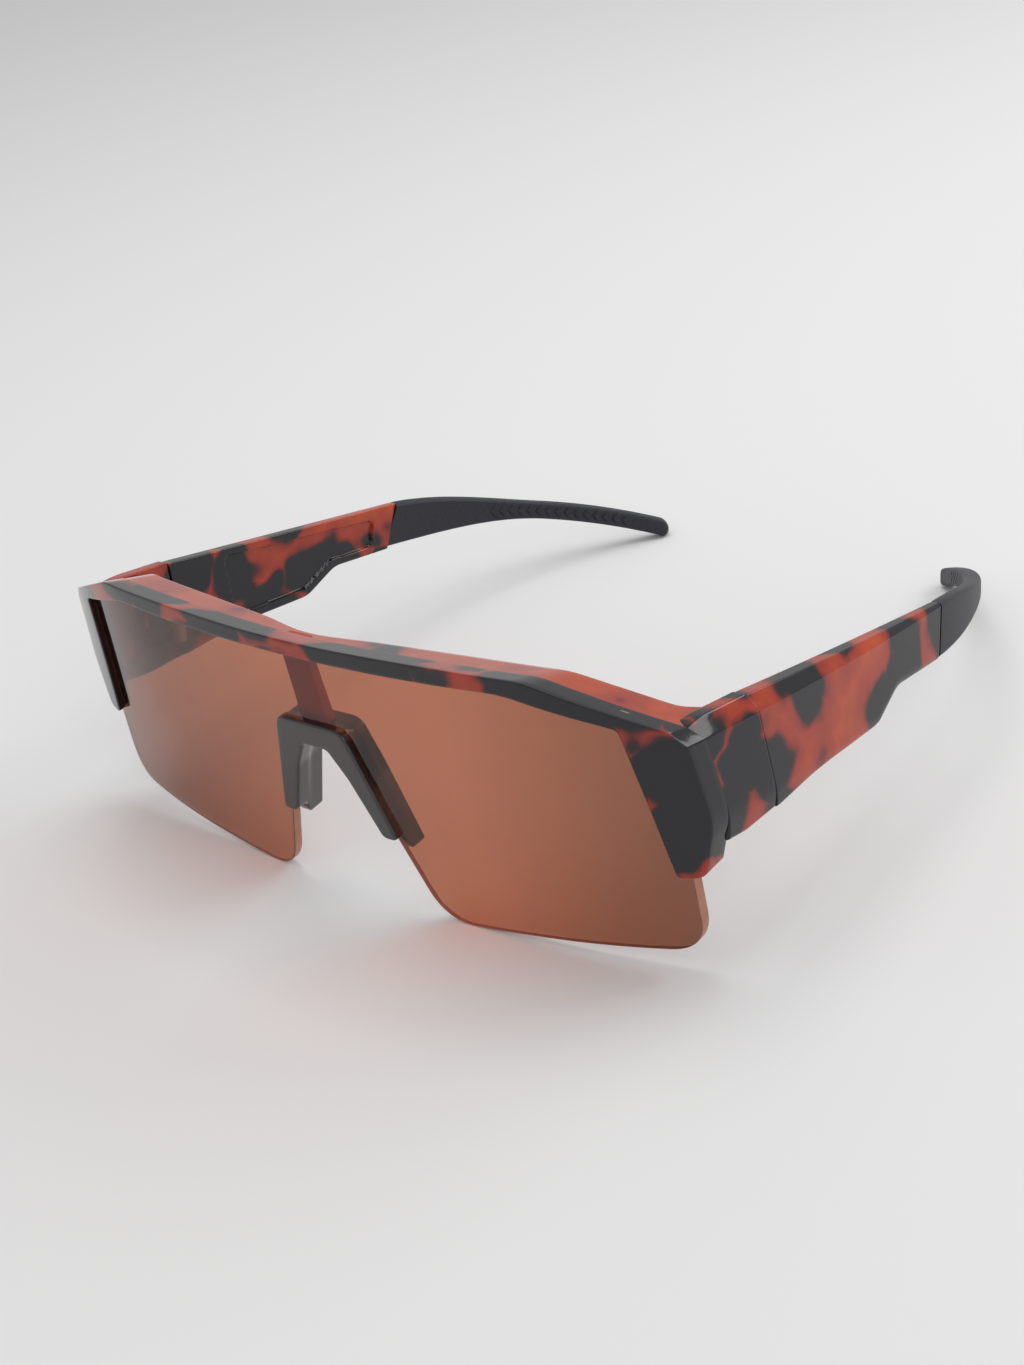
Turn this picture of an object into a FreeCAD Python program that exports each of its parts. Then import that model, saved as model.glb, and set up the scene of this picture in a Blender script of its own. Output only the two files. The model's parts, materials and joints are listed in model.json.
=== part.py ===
import FreeCAD, Part
import Sketcher
import math
import os
import re

from FreeCAD import Placement, Rotation, Vector

# Fitover sunglasses: one curved shield lens in a semi-rimless front, two wide temples on
# screwed barrel hinges, and rubber tips pushed over a tang on each temple.
# Working frame: X to the wearer's left, Y from the front corners back along the temples,
# Z up, with the temples' top edges level. The stance at the end tips the finished pieces
# back until the lens' lower edge and both temple tips stand on one surface.

SIZES = {
    # Lens sheet: a base curve that turns in towards the sides, more tightly at the brow
    "baseRadius": 340.0,
    "wrapRadiusTop": 80.0,
    "wrapRadiusFoot": 236.0,
    "wrapStart": 42.0,
    "sheetTop": 20.0,
    "sheetFoot": 50.0,
    "lensBulge": 11.4,
    "lensLeanAngle": 15.5,
    "lensThickness": 2.0,
    "lensFit": 0.1,
    "lensSeat": 1.8,
    "lensSeatTop": 1.0,
    # Lens outline, half widths and heights along the lean
    "lensLowerHeight": 40.0,
    "lensFootInset": 3.1,
    "lensBottomRise": 4.3,
    "lensCornerRadius": 7.0,
    "noseEdgeFoot": 19.4,
    "noseEdgeRadius": 9.0,
    "noseCutHalf": 6.3,
    "noseCutTop": 7.6,
    "noseCutRadius": 2.5,
    # Front frame: brow bar and wings
    "lipThickness": 1.4,
    "openingTop": 9.7,
    "openingBendInset": 28.5,
    "openingBendRadius": 20.0,
    "openingCornerInset": 10.0,
    "openingCornerHeight": 4.0,
    "openingCornerRadius": 4.5,
    "wingInnerInset": 0.2,
    "wingInnerDepth": 21.0,
    "wingDrop": 24.4,
    "wingTurnDepth": 15.0,
    "wingFootInset": 0.4,
    "wingTurnRadius": 20.0,
    "wingTipRadius": 3.0,
    "wingInnerRadius": 1.5,
    # Top ledge over the lens
    "ledgeThickness": 2.2,
    "ledgeSlopeAngle": 6.8,
    "ledgeCentreHeight": 6.9,
    "ledgeCentreRadius": 400.0,
    "ledgeBendInset": 23.8,
    "ledgeBendHeight": 8.45,
    "ledgeBendRadius": 14.0,
    "ledgeEndHeight": 2.4,
    "ledgeRearCentre": 8.4,
    "ledgeShoulderHalf": 13.0,
    "ledgeShoulderDepth": 5.0,
    "ledgeShoulderRadius": 20.0,
    "ledgeTurnInset": 25.0,
    "ledgeTurnDepth": -0.2,
    "ledgeTurnRadius": 20.0,
    "ledgeCornerInset": 2.7,
    "ledgeCornerBack": 9.0,
    "ledgeCornerRadius": 5.0,
    # Side wall at the front corner
    "cornerHalfWidth": 75.0,
    "sideFlare": 1.9,
    "flareDepth": 14.0,
    "flareRadius": 20.0,
    "flareReturn": 1.6,
    "wallWidth": 5.0,
    "topHeight": 2.7,
    "bevelWidth": 2.5,
    "sideDepth": 18.6,
    "sideRise": 1.3,
    # Seam between front and temple
    "seamDepth": 19.5,
    "seamSlant": 8.0,
    "seamGap": 0.2,
    # Temple arm
    "midReach": 52.0,
    "jointReach": 84.0,
    "jointSlant": 20.0,
    "midInset": 1.9,
    "jointInset": 4.7,
    "topDrop": 2.7,
    "bevelRear": 0.4,
    "innerRearInset": 1.9,
    "bellyReach": 36.0,
    "bellyDepth": 15.1,
    "bellyRadius": 150.0,
    "stepStart": 57.5,
    "stepDepth": 14.2,
    "stepEnd": 65.5,
    "stepHeight": 9.7,
    "stepRadius": 7.0,
    "recessDepth": 0.8,
    "recessRim": 1.8,
    "recessStart": 34.0,
    "recessEnd": 77.0,
    "recessRadius": 1.5,
    # Rubber tip, curving inwards and down from the temple's rear end
    "tipRootInset": 0.1,
    "tipRootReach": 82.5,
    "tipRootDepth": 4.8,
    "tipLength": 68.7,
    "tipStartAngle": 8.5,
    "tipHookRadius": 100.0,
    "tipDroopRadius": 225.0,
    "tipRootHeight": 9.5,
    "tipEndHeight": 3.9,
    "tipTaperLength": 40.0,
    "tipRootThickness": 3.0,
    "tipEndThickness": 3.5,
    "tipRootRollAngle": 7.5,
    "tipBevel": 0.7,
    "tipNose": 1.3,
    "tipSeat": 0.05,
    # Tang inside the tip
    "tangLength": 14.0,
    "tangHeight": 4.6,
    "tangThickness": 1.4,
    "tangFit": 0.06,
    # Nose saddle
    "saddleLip": 0.9,
    "saddleDepth": 7.0,
    "saddleTop": 5.1,
    "saddleTopHalf": 8.2,
    "saddleFootHalf": 14.4,
    "saddleFootDepth": 26.8,
    "saddleInnerTop": 10.1,
    "saddleInnerTopHalf": 2.9,
    "saddleInnerBendHalf": 6.2,
    "saddleInnerBendDepth": 15.6,
    "saddleInnerFootHalf": 10.7,
    "saddleInnerRadius": 15.0,
    "saddleFlangeDrop": 3.2,
    "saddleCornerRadius": 3.0,
    "saddleFootRadius": 1.4,
    # Strut behind the lens
    "strutTopHalf": 2.95,
    "strutFootHalf": 3.45,
    "strutThickness": 2.2,
    # Hinge: barrel half sunk in the inner faces, one leaf recessed on each side of the seam
    "pivotInset": 0.4,
    "pivotDepth": 20.6,
    "barrelRadius": 1.75,
    "barrelRelief": 0.45,
    "hingeTop": 3.2,
    "hingeHeight": 10.4,
    "knuckleHeight": 3.4,
    "leafThickness": 1.0,
    "leafStart": 2.2,
    "leafLength": 9.0,
    "leafFit": 0.05,
    "pinRadius": 0.7,
    "pinFit": 0.05,
    "pinHeadRadius": 1.35,
    "pinHeadHeight": 0.7,
    "slotWidth": 0.35,
    "slotDepth": 0.3,
    "fixingRadius": 0.6,
    "fixingFit": 0.05,
    "fixingHeadRadius": 1.1,
    "fixingHeadHeight": 0.5,
    "fixingLength": 3.2,
    "fixingNear": 4.4,
    "fixingFar": 7.6,
    # Reach of the cutting outlines past the whole front, and of the slabs that they trim
    "cutterReach": 200.0,
    "slabReach": 30.0,
}

# Places that keep their distance from the outer or the inner face of the side walls
PLACES = {
    "innerHalfWidth": "(cornerHalfWidth - wallWidth)",
    "lensHalfWidth": "(cornerHalfWidth - lensFootInset)",
    "openingBendHalf": "(cornerHalfWidth - openingBendInset)",
    "openingCornerHalf": "(cornerHalfWidth - openingCornerInset)",
    "wingInnerHalf": "(cornerHalfWidth - wallWidth - wingInnerInset)",
    "wingFootHalf": "(cornerHalfWidth - wingFootInset)",
    "ledgeBendHalf": "(cornerHalfWidth - ledgeBendInset)",
    "ledgeTurnHalf": "(cornerHalfWidth - ledgeTurnInset)",
    "ledgeCornerHalf": "(cornerHalfWidth - wallWidth - ledgeCornerInset)",
    "tipRootHalf": "(cornerHalfWidth - wallWidth - tipRootInset)",
}

doc = FreeCAD.newDocument("FitoverSunglasses")
dims = doc.addObject("Spreadsheet::Sheet", "dims")
for row, (name, size) in enumerate(SIZES.items(), start=1):
    dims.set("A%d" % row, name)
    dims.set("B%d" % row, str(size))
    dims.setAlias("B%d" % row, name)
doc.recompute()


def linked(text):
    """The expression with places written out and each size's name pointed at the sheet."""
    def writtenOut(word):
        return PLACES.get(word.group(), word.group())

    def point(word):
        name = word.group()
        return "dims." + name if name in SIZES else name
    return re.sub(r"[A-Za-z]\w*", point, re.sub(r"[A-Za-z]\w*", writtenOut, text))


def value(text):
    """The number that an expression of the sizes gives now."""
    number = dims.evalExpression(linked(text))
    return float(getattr(number, "Value", number))


def bind(target, prop, text):
    target.setExpression(prop, linked(text))


def plane(body, role):
    for feature in body.Origin.OriginFeatures:
        if feature.Role == role:
            return feature
    raise ValueError(role)


def sketchOn(body, name, role="XY_Plane", offset=Placement()):
    """A sketch on one of the body's own origin planes, moved by an offset."""
    sketch = body.newObject("Sketcher::SketchObject", name)
    sketch.AttachmentSupport = (plane(body, role), [""])
    sketch.MapMode = "FlatFace"
    sketch.AttachmentOffset = offset
    return sketch


def corner(before, here, after, radius):
    """Arc that rounds a corner: its centre, two tangent points and turning sense."""
    arriving = (before - here).normalize()
    leaving = (after - here).normalize()
    half = arriving.getAngle(leaving) / 2
    reach = radius / math.tan(half)
    centre = here + (arriving + leaving).normalize() * (radius / math.sin(half))
    turnsLeft = arriving.cross(leaving).z < 0
    return centre, here + arriving * reach, here + leaving * reach, turnsLeft


def addLoop(sketch, corners):
    """Closed outline through corners (x, y, radius), each an expression of the sizes.

    Straight sides are held by their corners and every rounded corner is a tangent arc
    with its own radius, so the whole outline follows the sheet.
    """
    points = [Vector(value(x), value(y), 0) for x, y, radius in corners]
    count = len(points)
    arcs = []
    for index, (x, y, radius) in enumerate(corners):
        if radius is None:
            arcs.append(None)
        else:
            before = points[index - 1]
            after = points[(index + 1) % count]
            arcs.append(corner(before, points[index], after, value(radius)))
    first = sketch.GeometryCount
    lines = []
    for index in range(count):
        following = (index + 1) % count
        start = arcs[index][2] if arcs[index] else points[index]
        end = arcs[following][1] if arcs[following] else points[following]
        lines.append(Part.LineSegment(start, end))
    sketch.addGeometry(lines, False)
    for index, (x, y, radius) in enumerate(corners):
        arriving = first + (index - 1) % count
        leaving = first + index
        if arcs[index] is None:
            sketch.addConstraint(Sketcher.Constraint("Coincident", arriving, 2, leaving, 1))
            held = (leaving, 1)
        else:
            centre, start, end, turnsLeft = arcs[index]
            circle = Part.Circle(centre, Vector(0, 0, 1), value(radius))
            low, high = (start, end) if turnsLeft else (end, start)
            angles = [math.atan2(p.y - centre.y, p.x - centre.x) for p in (low, high)]
            if angles[1] < angles[0]:
                angles[1] += 2 * math.pi
            arc = sketch.addGeometry(Part.ArcOfCircle(circle, angles[0], angles[1]), False)
            entry, leave = (1, 2) if turnsLeft else (2, 1)
            vertex = sketch.addGeometry(Part.Point(points[index]), True)
            sketch.addConstraint([
                Sketcher.Constraint("Tangent", arriving, 2, arc, entry),
                Sketcher.Constraint("Tangent", arc, leave, leaving, 1),
                Sketcher.Constraint("PointOnObject", vertex, 1, arriving),
                Sketcher.Constraint("PointOnObject", vertex, 1, leaving),
            ])
            hold = sketch.addConstraint(Sketcher.Constraint("Radius", arc, value(radius)))
            bind(sketch, "Constraints[%d]" % hold, radius)
            held = (vertex, 1)
        for kind, text, number in (("DistanceX", x, points[index].x), ("DistanceY", y, points[index].y)):
            hold = sketch.addConstraint(Sketcher.Constraint(kind, -1, 1, held[0], held[1], number))
            bind(sketch, "Constraints[%d]" % hold, text)


def mirrored(half):
    """The half outline from the middle out, and the same corners back on the other side."""
    other = [("-(%s)" % x, y, radius) for x, y, radius in reversed(half) if x != "0"]
    return half + other


def addBand(sketch, front, back, half, wrapName):
    """Closed band between two curves parallel to the lens' front face.

    front and back are distances behind that face; each curve is a base arc and two
    tighter arcs that leave it smoothly.
    """
    start = value("wrapStart")
    bulge = value("lensBulge")
    base = value("baseRadius")
    wrap = value(wrapName)
    turn = math.asin(start / base)
    baseCentre = Vector(0, base - bulge, 0)
    sideX = (base - wrap) * math.sin(turn)
    sideY = base - bulge - (base - wrap) * math.cos(turn)
    reach = value(half)
    down = -math.pi / 2
    curves = []
    for offset in (value(front), value(back)):
        baseArc = Part.ArcOfCircle(
            Part.Circle(baseCentre, Vector(0, 0, 1), base - offset), down - turn, down + turn)
        end = math.asin((reach - sideX) / (wrap - offset))
        right = Part.ArcOfCircle(
            Part.Circle(Vector(sideX, sideY, 0), Vector(0, 0, 1), wrap - offset), down + turn, down + end)
        left = Part.ArcOfCircle(
            Part.Circle(Vector(-sideX, sideY, 0), Vector(0, 0, 1), wrap - offset), down - end, down - turn)
        curves.append(sketch.addGeometry([left, baseArc, right], False))
    ends = []
    for side, point in ((0, 1), (2, 2)):
        a = sketch.getPoint(curves[0][side], point)
        b = sketch.getPoint(curves[1][side], point)
        line = sketch.addGeometry(Part.LineSegment(a, b), False)
        sketch.addConstraint([
            Sketcher.Constraint("Coincident", line, 1, curves[0][side], point),
            Sketcher.Constraint("Coincident", line, 2, curves[1][side], point),
        ])
        ends.append(line)
    for (left, middle, right), offset in zip(curves, (front, back)):
        sketch.addConstraint([
            Sketcher.Constraint("Tangent", left, 2, middle, 1),
            Sketcher.Constraint("Tangent", middle, 2, right, 1),
            Sketcher.Constraint("PointOnObject", middle, 3, -2),
        ])
        for arc, radius in ((middle, "baseRadius"), (left, wrapName), (right, wrapName)):
            text = "%s - (%s)" % (radius, offset)
            hold = sketch.addConstraint(Sketcher.Constraint("Radius", arc, value(text)))
            bind(sketch, "Constraints[%d]" % hold, text)
        for arc, point, sign in ((left, 1, "-"), (right, 2, "")):
            text = "%s(%s)" % (sign, half)
            hold = sketch.addConstraint(
                Sketcher.Constraint("DistanceX", -1, 1, arc, point, value(text)))
            bind(sketch, "Constraints[%d]" % hold, text)
        hold = sketch.addConstraint(
            Sketcher.Constraint("DistanceY", -1, 1, middle, 3, base - bulge))
        bind(sketch, "Constraints[%d]" % hold, "baseRadius - lensBulge")
        startText = "wrapStart * (baseRadius - (%s)) / baseRadius" % offset
        hold = sketch.addConstraint(
            Sketcher.Constraint("DistanceX", -1, 1, middle, 2, value(startText)))
        bind(sketch, "Constraints[%d]" % hold, startText)
        sketch.addConstraint(Sketcher.Constraint("Symmetric", middle, 1, middle, 2, -2))


LEANING = Placement(Vector(), Rotation(Vector(1, 0, 0), value("lensLeanAngle")))


def pad(body, name, sketch, length, second=None):
    feature = body.newObject("PartDesign::Pad", name)
    feature.Profile = sketch
    bind(feature, "Length", length)
    if second is not None:
        feature.SideType = "Two sides"
        bind(feature, "Length2", second)
    return feature


def pocketThrough(body, name, sketch):
    feature = body.newObject("PartDesign::Pocket", name)
    feature.Profile = sketch
    feature.SideType = "Two sides"
    feature.Type = "ThroughAll"
    feature.Type2 = "ThroughAll"
    return feature


def surround(sketch):
    """A square far outside an outline, so that a pocket keeps only the outline."""
    low, high = "-cutterReach", "cutterReach"
    addLoop(sketch, [(low, low, None), (high, low, None), (high, high, None), (low, high, None)])


def seatedEdge(grow):
    """Top and side edge of the frame's opening, pushed outwards into its groove."""
    return [
        ("openingBendHalf", "openingTop + lensSeatTop + " + grow, "openingBendRadius"),
        ("openingCornerHalf + lensSeat + " + grow, "openingCornerHeight + lensSeatTop + " + grow,
         "openingCornerRadius"),
        ("wingInnerHalf + lensSeat + " + grow, "-wingInnerDepth", None),
    ]


def lensOutline(grow):
    """The lens' edge, grown by a clearance: seated top and sides, free lower edge."""
    return mirrored(seatedEdge(grow) + [
        ("lensHalfWidth + " + grow, "-lensLowerHeight - " + grow, "lensCornerRadius"),
        ("noseEdgeFoot - " + grow, "-lensLowerHeight - lensBottomRise - " + grow, "noseEdgeRadius"),
        ("noseCutHalf - " + grow, "-noseCutTop - " + grow, "noseCutRadius"),
    ])


def addSheet(body, name, front, back):
    """Curved sheet lofted straight between its plan curves at the top and at the foot."""
    bands = []
    for end, height, wrapName in (("top", "sheetTop", "wrapRadiusTop"), ("foot", "-sheetFoot", "wrapRadiusFoot")):
        level = LEANING.multiply(Placement(Vector(0, 0, value(height)), Rotation()))
        band = sketchOn(body, "%s_%s" % (name, end), "XY_Plane", level)
        addBand(band, front, back, "cornerHalfWidth + sideFlare + 4", wrapName)
        bands.append(band)
    sheet = body.newObject("PartDesign::AdditiveLoft", name + "_sheet")
    sheet.Profile = bands[0]
    sheet.Sections = bands[1:]
    sheet.Ruled = True


def curvedSheet(name, front, back, loops):
    """A body cut from a curved sheet: only what lies inside the outlines stays."""
    body = doc.addObject("PartDesign::Body", name)
    addSheet(body, name, front, back)
    outline = sketchOn(body, name + "_outline", "XZ_Plane", LEANING)
    surround(outline)
    for loop in loops:
        addLoop(outline, loop)
    pocketThrough(body, name + "_trim", outline)
    return body


FALLING = Placement(Vector(), Rotation(Vector(1, 0, 0), -value("ledgeSlopeAngle")))


def ledgeTop():
    """Top surface of the ledge, seen along its slope."""
    return [
        ("0", "ledgeCentreHeight", "ledgeCentreRadius"),
        ("ledgeBendHalf", "ledgeBendHeight", "ledgeBendRadius"),
        ("cornerHalfWidth - bevelWidth", "ledgeEndHeight", None),
        ("cornerHalfWidth + 6", "ledgeEndHeight", None),
    ]


def browShell():
    """Brow bar and wings: a band around the lens edge, cut down to the ledge's top."""
    outer = [
        ("openingBendHalf + 12", "40", None),
        ("cornerHalfWidth + sideFlare + 1", "20", None),
        ("cornerHalfWidth + sideFlare + 1", "-wingTurnDepth", "wingTurnRadius"),
        ("wingFootHalf", "-wingDrop", "wingTipRadius"),
        ("wingInnerHalf + 0.6", "-wingDrop", "wingInnerRadius"),
    ]
    inner = [
        ("openingCornerHalf", "openingCornerHeight", "openingCornerRadius"),
        ("openingBendHalf", "openingTop", "openingBendRadius"),
    ]
    right = outer + inner
    loop = right + [("-(%s)" % x, y, radius) for x, y, radius in reversed(right)]
    body = curvedSheet("brow_shell", "-lipThickness", "lensThickness + lipThickness", [loop])
    cap = sketchOn(body, "brow_cap", "XZ_Plane", FALLING)
    addLoop(cap, mirrored(ledgeTop() + [("cornerHalfWidth + 6", "60", None)]))
    pocketThrough(body, "brow_capped", cap)
    return body


def ledge():
    """The shelf behind the brow bar, narrow over the nose and wide at the sides."""
    body = doc.addObject("PartDesign::Body", "ledge")
    profile = sketchOn(body, "ledge_profile", "XZ_Plane", FALLING)
    top = ledgeTop()[:3]
    under = [(x, "%s - ledgeThickness" % z, radius) for x, z, radius in reversed(top)]
    over = [("-(%s)" % x, z, radius) for x, z, radius in reversed(top[1:])]
    below = [("-(%s)" % x, z, radius) for x, z, radius in reversed(under[:-1])]
    addLoop(profile, top + under + below + over)
    pad(body, "ledge_slab", profile, "slabReach", "slabReach")
    plan = sketchOn(body, "ledge_plan")
    surround(plan)
    addLoop(plan, mirrored([
        ("0", "-ledgeRearCentre", "ledgeShoulderRadius"),
        ("ledgeShoulderHalf", "-ledgeShoulderDepth", "ledgeShoulderRadius"),
        ("ledgeTurnHalf", "ledgeTurnDepth", "ledgeTurnRadius"),
        ("ledgeCornerHalf", "ledgeCornerBack", "ledgeCornerRadius"),
        ("innerHalfWidth + 0.5", "pivotDepth - 4", None),
        ("cornerHalfWidth - bevelWidth", "pivotDepth - 4", None),
        ("cornerHalfWidth - bevelWidth", "-slabReach", None),
    ]))
    pocketThrough(body, "ledge_trim", plan)
    return body


def seamAt(height, gap):
    """Where the slanted seam stands at a height, moved back by a gap."""
    return "seamDepth + %s - (%s) * tan(seamSlant)" % (gap, height)


def endPieces():
    """Side walls from the wings back to the seams."""
    body = doc.addObject("PartDesign::Body", "end_pieces")
    profile = sketchOn(body, "end_profile", "XZ_Plane")
    section = [
        ("innerHalfWidth", "-30", None),
        ("cornerHalfWidth + sideFlare + 2", "-30", None),
        ("cornerHalfWidth + sideFlare + 2", "topHeight", None),
        ("innerHalfWidth", "topHeight", None),
    ]
    addLoop(profile, section)
    addLoop(profile, [("-(%s)" % x, z, radius) for x, z, radius in section])
    pad(body, "end_walls", profile, "20", "40")
    side = sketchOn(body, "end_side", "YZ_Plane")
    surround(side)
    addLoop(side, [
        ("-15", "-sideDepth", None),
        ("0", "-sideDepth", None),
        (seamAt("-sideDepth + sideRise", "0"), "-sideDepth + sideRise", None),
        (seamAt("20", "0"), "20", None),
        ("-15", "20", None),
    ])
    pocketThrough(body, "end_trim", side)
    return body


def saddleLoop(drop, inset):
    """Outline of the saddle seen from the front, its feet lowered and its edges drawn in."""
    foot = "-saddleFootDepth - (%s)" % drop
    spread = "(%s) * 0.3" % drop
    half = [
        ("saddleTopHalf - " + inset, "-saddleTop - " + inset, "saddleCornerRadius"),
        ("saddleFootHalf - %s + %s" % (inset, spread), foot, "saddleFootRadius"),
        ("saddleInnerFootHalf + %s + %s" % (inset, spread), foot, "saddleFootRadius"),
        ("saddleInnerBendHalf + " + inset, "-saddleInnerBendDepth", "saddleInnerRadius"),
        ("saddleInnerTopHalf + " + inset, "-saddleInnerTop + " + inset, "saddleFootRadius"),
    ]
    return mirrored(half)


def noseBridge():
    """Saddle over the nose and the strut that carries it behind the lens."""
    body = doc.addObject("PartDesign::Body", "nose_bridge")
    lipPlane = LEANING.multiply(Placement(Vector(0, 0, value("lensBulge")), Rotation()))
    lip = sketchOn(body, "saddle_lip", "XZ_Plane", lipPlane)
    addLoop(lip, saddleLoop("0", "0"))
    pad(body, "saddle_front", lip, "saddleLip", "lensThickness + 0.6")
    backPlane = LEANING.multiply(
        Placement(Vector(0, 0, value("lensBulge - lensThickness")), Rotation()))
    flange = sketchOn(body, "saddle_flange", "XZ_Plane", backPlane)
    addLoop(flange, saddleLoop("saddleFlangeDrop", "0.3"))
    rear = pad(body, "saddle_rear", flange, "saddleDepth - saddleLip - lensThickness")
    rear.Reversed = True
    strut = sketchOn(body, "strut", "XZ_Plane", backPlane)
    addLoop(strut, mirrored([
        ("strutTopHalf", "openingTop + 1", None),
        ("strutFootHalf", "-saddleTop - 1", None),
    ]))
    post = pad(body, "strut_post", strut, "strutThickness")
    post.Reversed = True
    return body


def aheadOfLip():
    """Everything in front of the lip's face, to be cut away."""
    body = doc.addObject("PartDesign::Body", "ahead_of_lip")
    addSheet(body, "ahead", "-lipThickness - 30", "-lipThickness")
    return body


def betweenSides():
    """Everything between the outer faces of the side walls, seen from the front."""
    body = doc.addObject("PartDesign::Body", "between_sides")
    sides = sketchOn(body, "side_faces", "XZ_Plane")
    addLoop(sides, mirrored([
        ("cornerHalfWidth - bevelWidth - 30 * bevelWidth / topHeight", "topHeight + 30", None),
        ("cornerHalfWidth", "0", None),
        ("cornerHalfWidth + sideFlare", "-flareDepth", "flareRadius"),
        ("cornerHalfWidth + sideFlare - flareReturn", "-flareDepth - 10", None),
        ("cornerHalfWidth + sideFlare - flareReturn", "-80", None),
    ]))
    pad(body, "sides_pad", sides, "60", "60")
    return body


def fused(name, pieces):
    piece = doc.addObject("Part::MultiFuse", name)
    piece.Shapes = pieces
    return piece


def cut(name, base, tool):
    piece = doc.addObject("Part::Cut", name)
    piece.Base = base
    piece.Tool = tool
    return piece


def placed(piece, across, back, height, turn=None):
    """Primitive moved to a point given by expressions, turned by a fixed rotation."""
    if turn is not None:
        piece.Placement = Placement(Vector(), turn)
    for axis, text in (("x", across), ("y", back), ("z", height)):
        bind(piece, "Placement.Base." + axis, text)
    return piece


def box(name, corner, extent):
    piece = doc.addObject("Part::Box", name)
    for prop, text in zip(("Length", "Width", "Height"), extent):
        bind(piece, prop, text)
    return placed(piece, *corner)


def rod(name, foot, radius, height, turn=None):
    piece = doc.addObject("Part::Cylinder", name)
    bind(piece, "Radius", radius)
    bind(piece, "Height", height)
    return placed(piece, *foot, turn)


def taper(name, foot, footRadius, topRadius, height, turn=None):
    piece = doc.addObject("Part::Cone", name)
    bind(piece, "Radius1", footRadius)
    bind(piece, "Radius2", topRadius)
    bind(piece, "Height", height)
    return placed(piece, *foot, turn)


PIVOT = ("innerHalfWidth - pivotInset", "pivotDepth")
HINGE_FOOT = "-hingeTop - hingeHeight"
OUTWARDS = Rotation(Vector(0, 1, 0), 90)


def fixingAt(side, distance):
    """Where a leaf's fixing screw enters: side is -1 towards the front, 1 in the temple."""
    return ("innerHalfWidth", "pivotDepth + (%d) * %s" % (side, distance), "-hingeTop - hingeHeight / 2")


def screwHole(name, side, distance, fit):
    """Countersunk hole shaped like the fixing screw, wider by a fit."""
    across, back, height = fixingAt(side, distance)
    shank = rod(name + "_shank", (across + " - 1", back, height),
                "fixingRadius + %s" % fit, "fixingLength + 1 + %s" % fit, OUTWARDS)
    head = taper(name + "_head", (across + " - %s" % fit, back, height),
                 "fixingHeadRadius + 2 * %s" % fit, "fixingRadius", "fixingHeadHeight + %s" % fit, OUTWARDS)
    mouth = rod(name + "_mouth", (across + " - 1", back, height),
                "fixingHeadRadius + 2 * %s" % fit, "1 - %s" % fit, OUTWARDS)
    return [shank, head, mouth]


def fixingScrew(name, side, distance):
    """Small countersunk screw, its slotted head flush with the leaf."""
    across, back, height = fixingAt(side, distance)
    shank = rod(name + "_shank", (across, back, height), "fixingRadius", "fixingLength", OUTWARDS)
    head = taper(name + "_head", (across, back, height), "fixingHeadRadius", "fixingRadius",
                 "fixingHeadHeight", OUTWARDS)
    slot = box(name + "_slot", (across + " - 1", back + " - slotWidth / 2", height + " - fixingHeadRadius"),
               ("1 + slotDepth", "slotWidth", "2 * fixingHeadRadius"))
    return cut(name, fused(name + "_blank", [shank, head]), slot)


def hingeScrew(name):
    """Pin through the three knuckles, its slotted head on the upper one."""
    shank = rod(name + "_shank", PIVOT + (HINGE_FOOT,), "pinRadius", "hingeHeight")
    head = rod(name + "_head", PIVOT + ("-hingeTop",), "pinHeadRadius", "pinHeadHeight")
    slot = box(name + "_slot",
               (PIVOT[0] + " - pinHeadRadius", PIVOT[1] + " - slotWidth / 2",
                "-hingeTop + pinHeadHeight - slotDepth"),
               ("2 * pinHeadRadius", "slotWidth", "2 * slotDepth"))
    return cut(name, fused(name + "_blank", [shank, head]), slot)


def leafSpan(side, start, end):
    """Near edge and length of a span measured from the pivot towards one side."""
    if side < 0:
        return "pivotDepth - (%s)" % end, "(%s) - (%s)" % (end, start)
    return "pivotDepth + (%s)" % start, "(%s) - (%s)" % (end, start)


def hingeLeaf(name, side):
    """Leaf plate with its knuckles: two outer ones in front, the middle one on the temple."""
    knuckle = "knuckleHeight"
    spare = "(hingeHeight - 3 * knuckleHeight) / 2"
    if side < 0:
        feet = [HINGE_FOOT, "-hingeTop - knuckleHeight"]
    else:
        feet = ["%s + knuckleHeight + %s" % (HINGE_FOOT, spare)]
    y, length = leafSpan(side, "leafStart", "leafStart + leafLength")
    pieces = [box(name + "_plate", ("innerHalfWidth", y, HINGE_FOOT), ("leafThickness", length, "hingeHeight"))]
    y, length = leafSpan(side, "0", "leafStart + 0.5")
    for index, foot in enumerate(feet):
        label = "%s_knuckle_%d" % (name, index)
        pieces.append(rod(label, PIVOT + (foot,), "barrelRadius", knuckle))
        pieces.append(box(label + "_neck", ("innerHalfWidth", y, foot), ("leafThickness", length, knuckle)))
    bores = [rod(name + "_bore", PIVOT + (HINGE_FOOT + " - 1",), "pinRadius + pinFit", "hingeHeight + 2")]
    for label, distance in (("near", "fixingNear"), ("far", "fixingFar")):
        bores += screwHole("%s_%s" % (name, label), side, distance, "fixingFit")
    return cut(name, fused(name + "_blank", pieces), fused(name + "_bores", bores))


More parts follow.
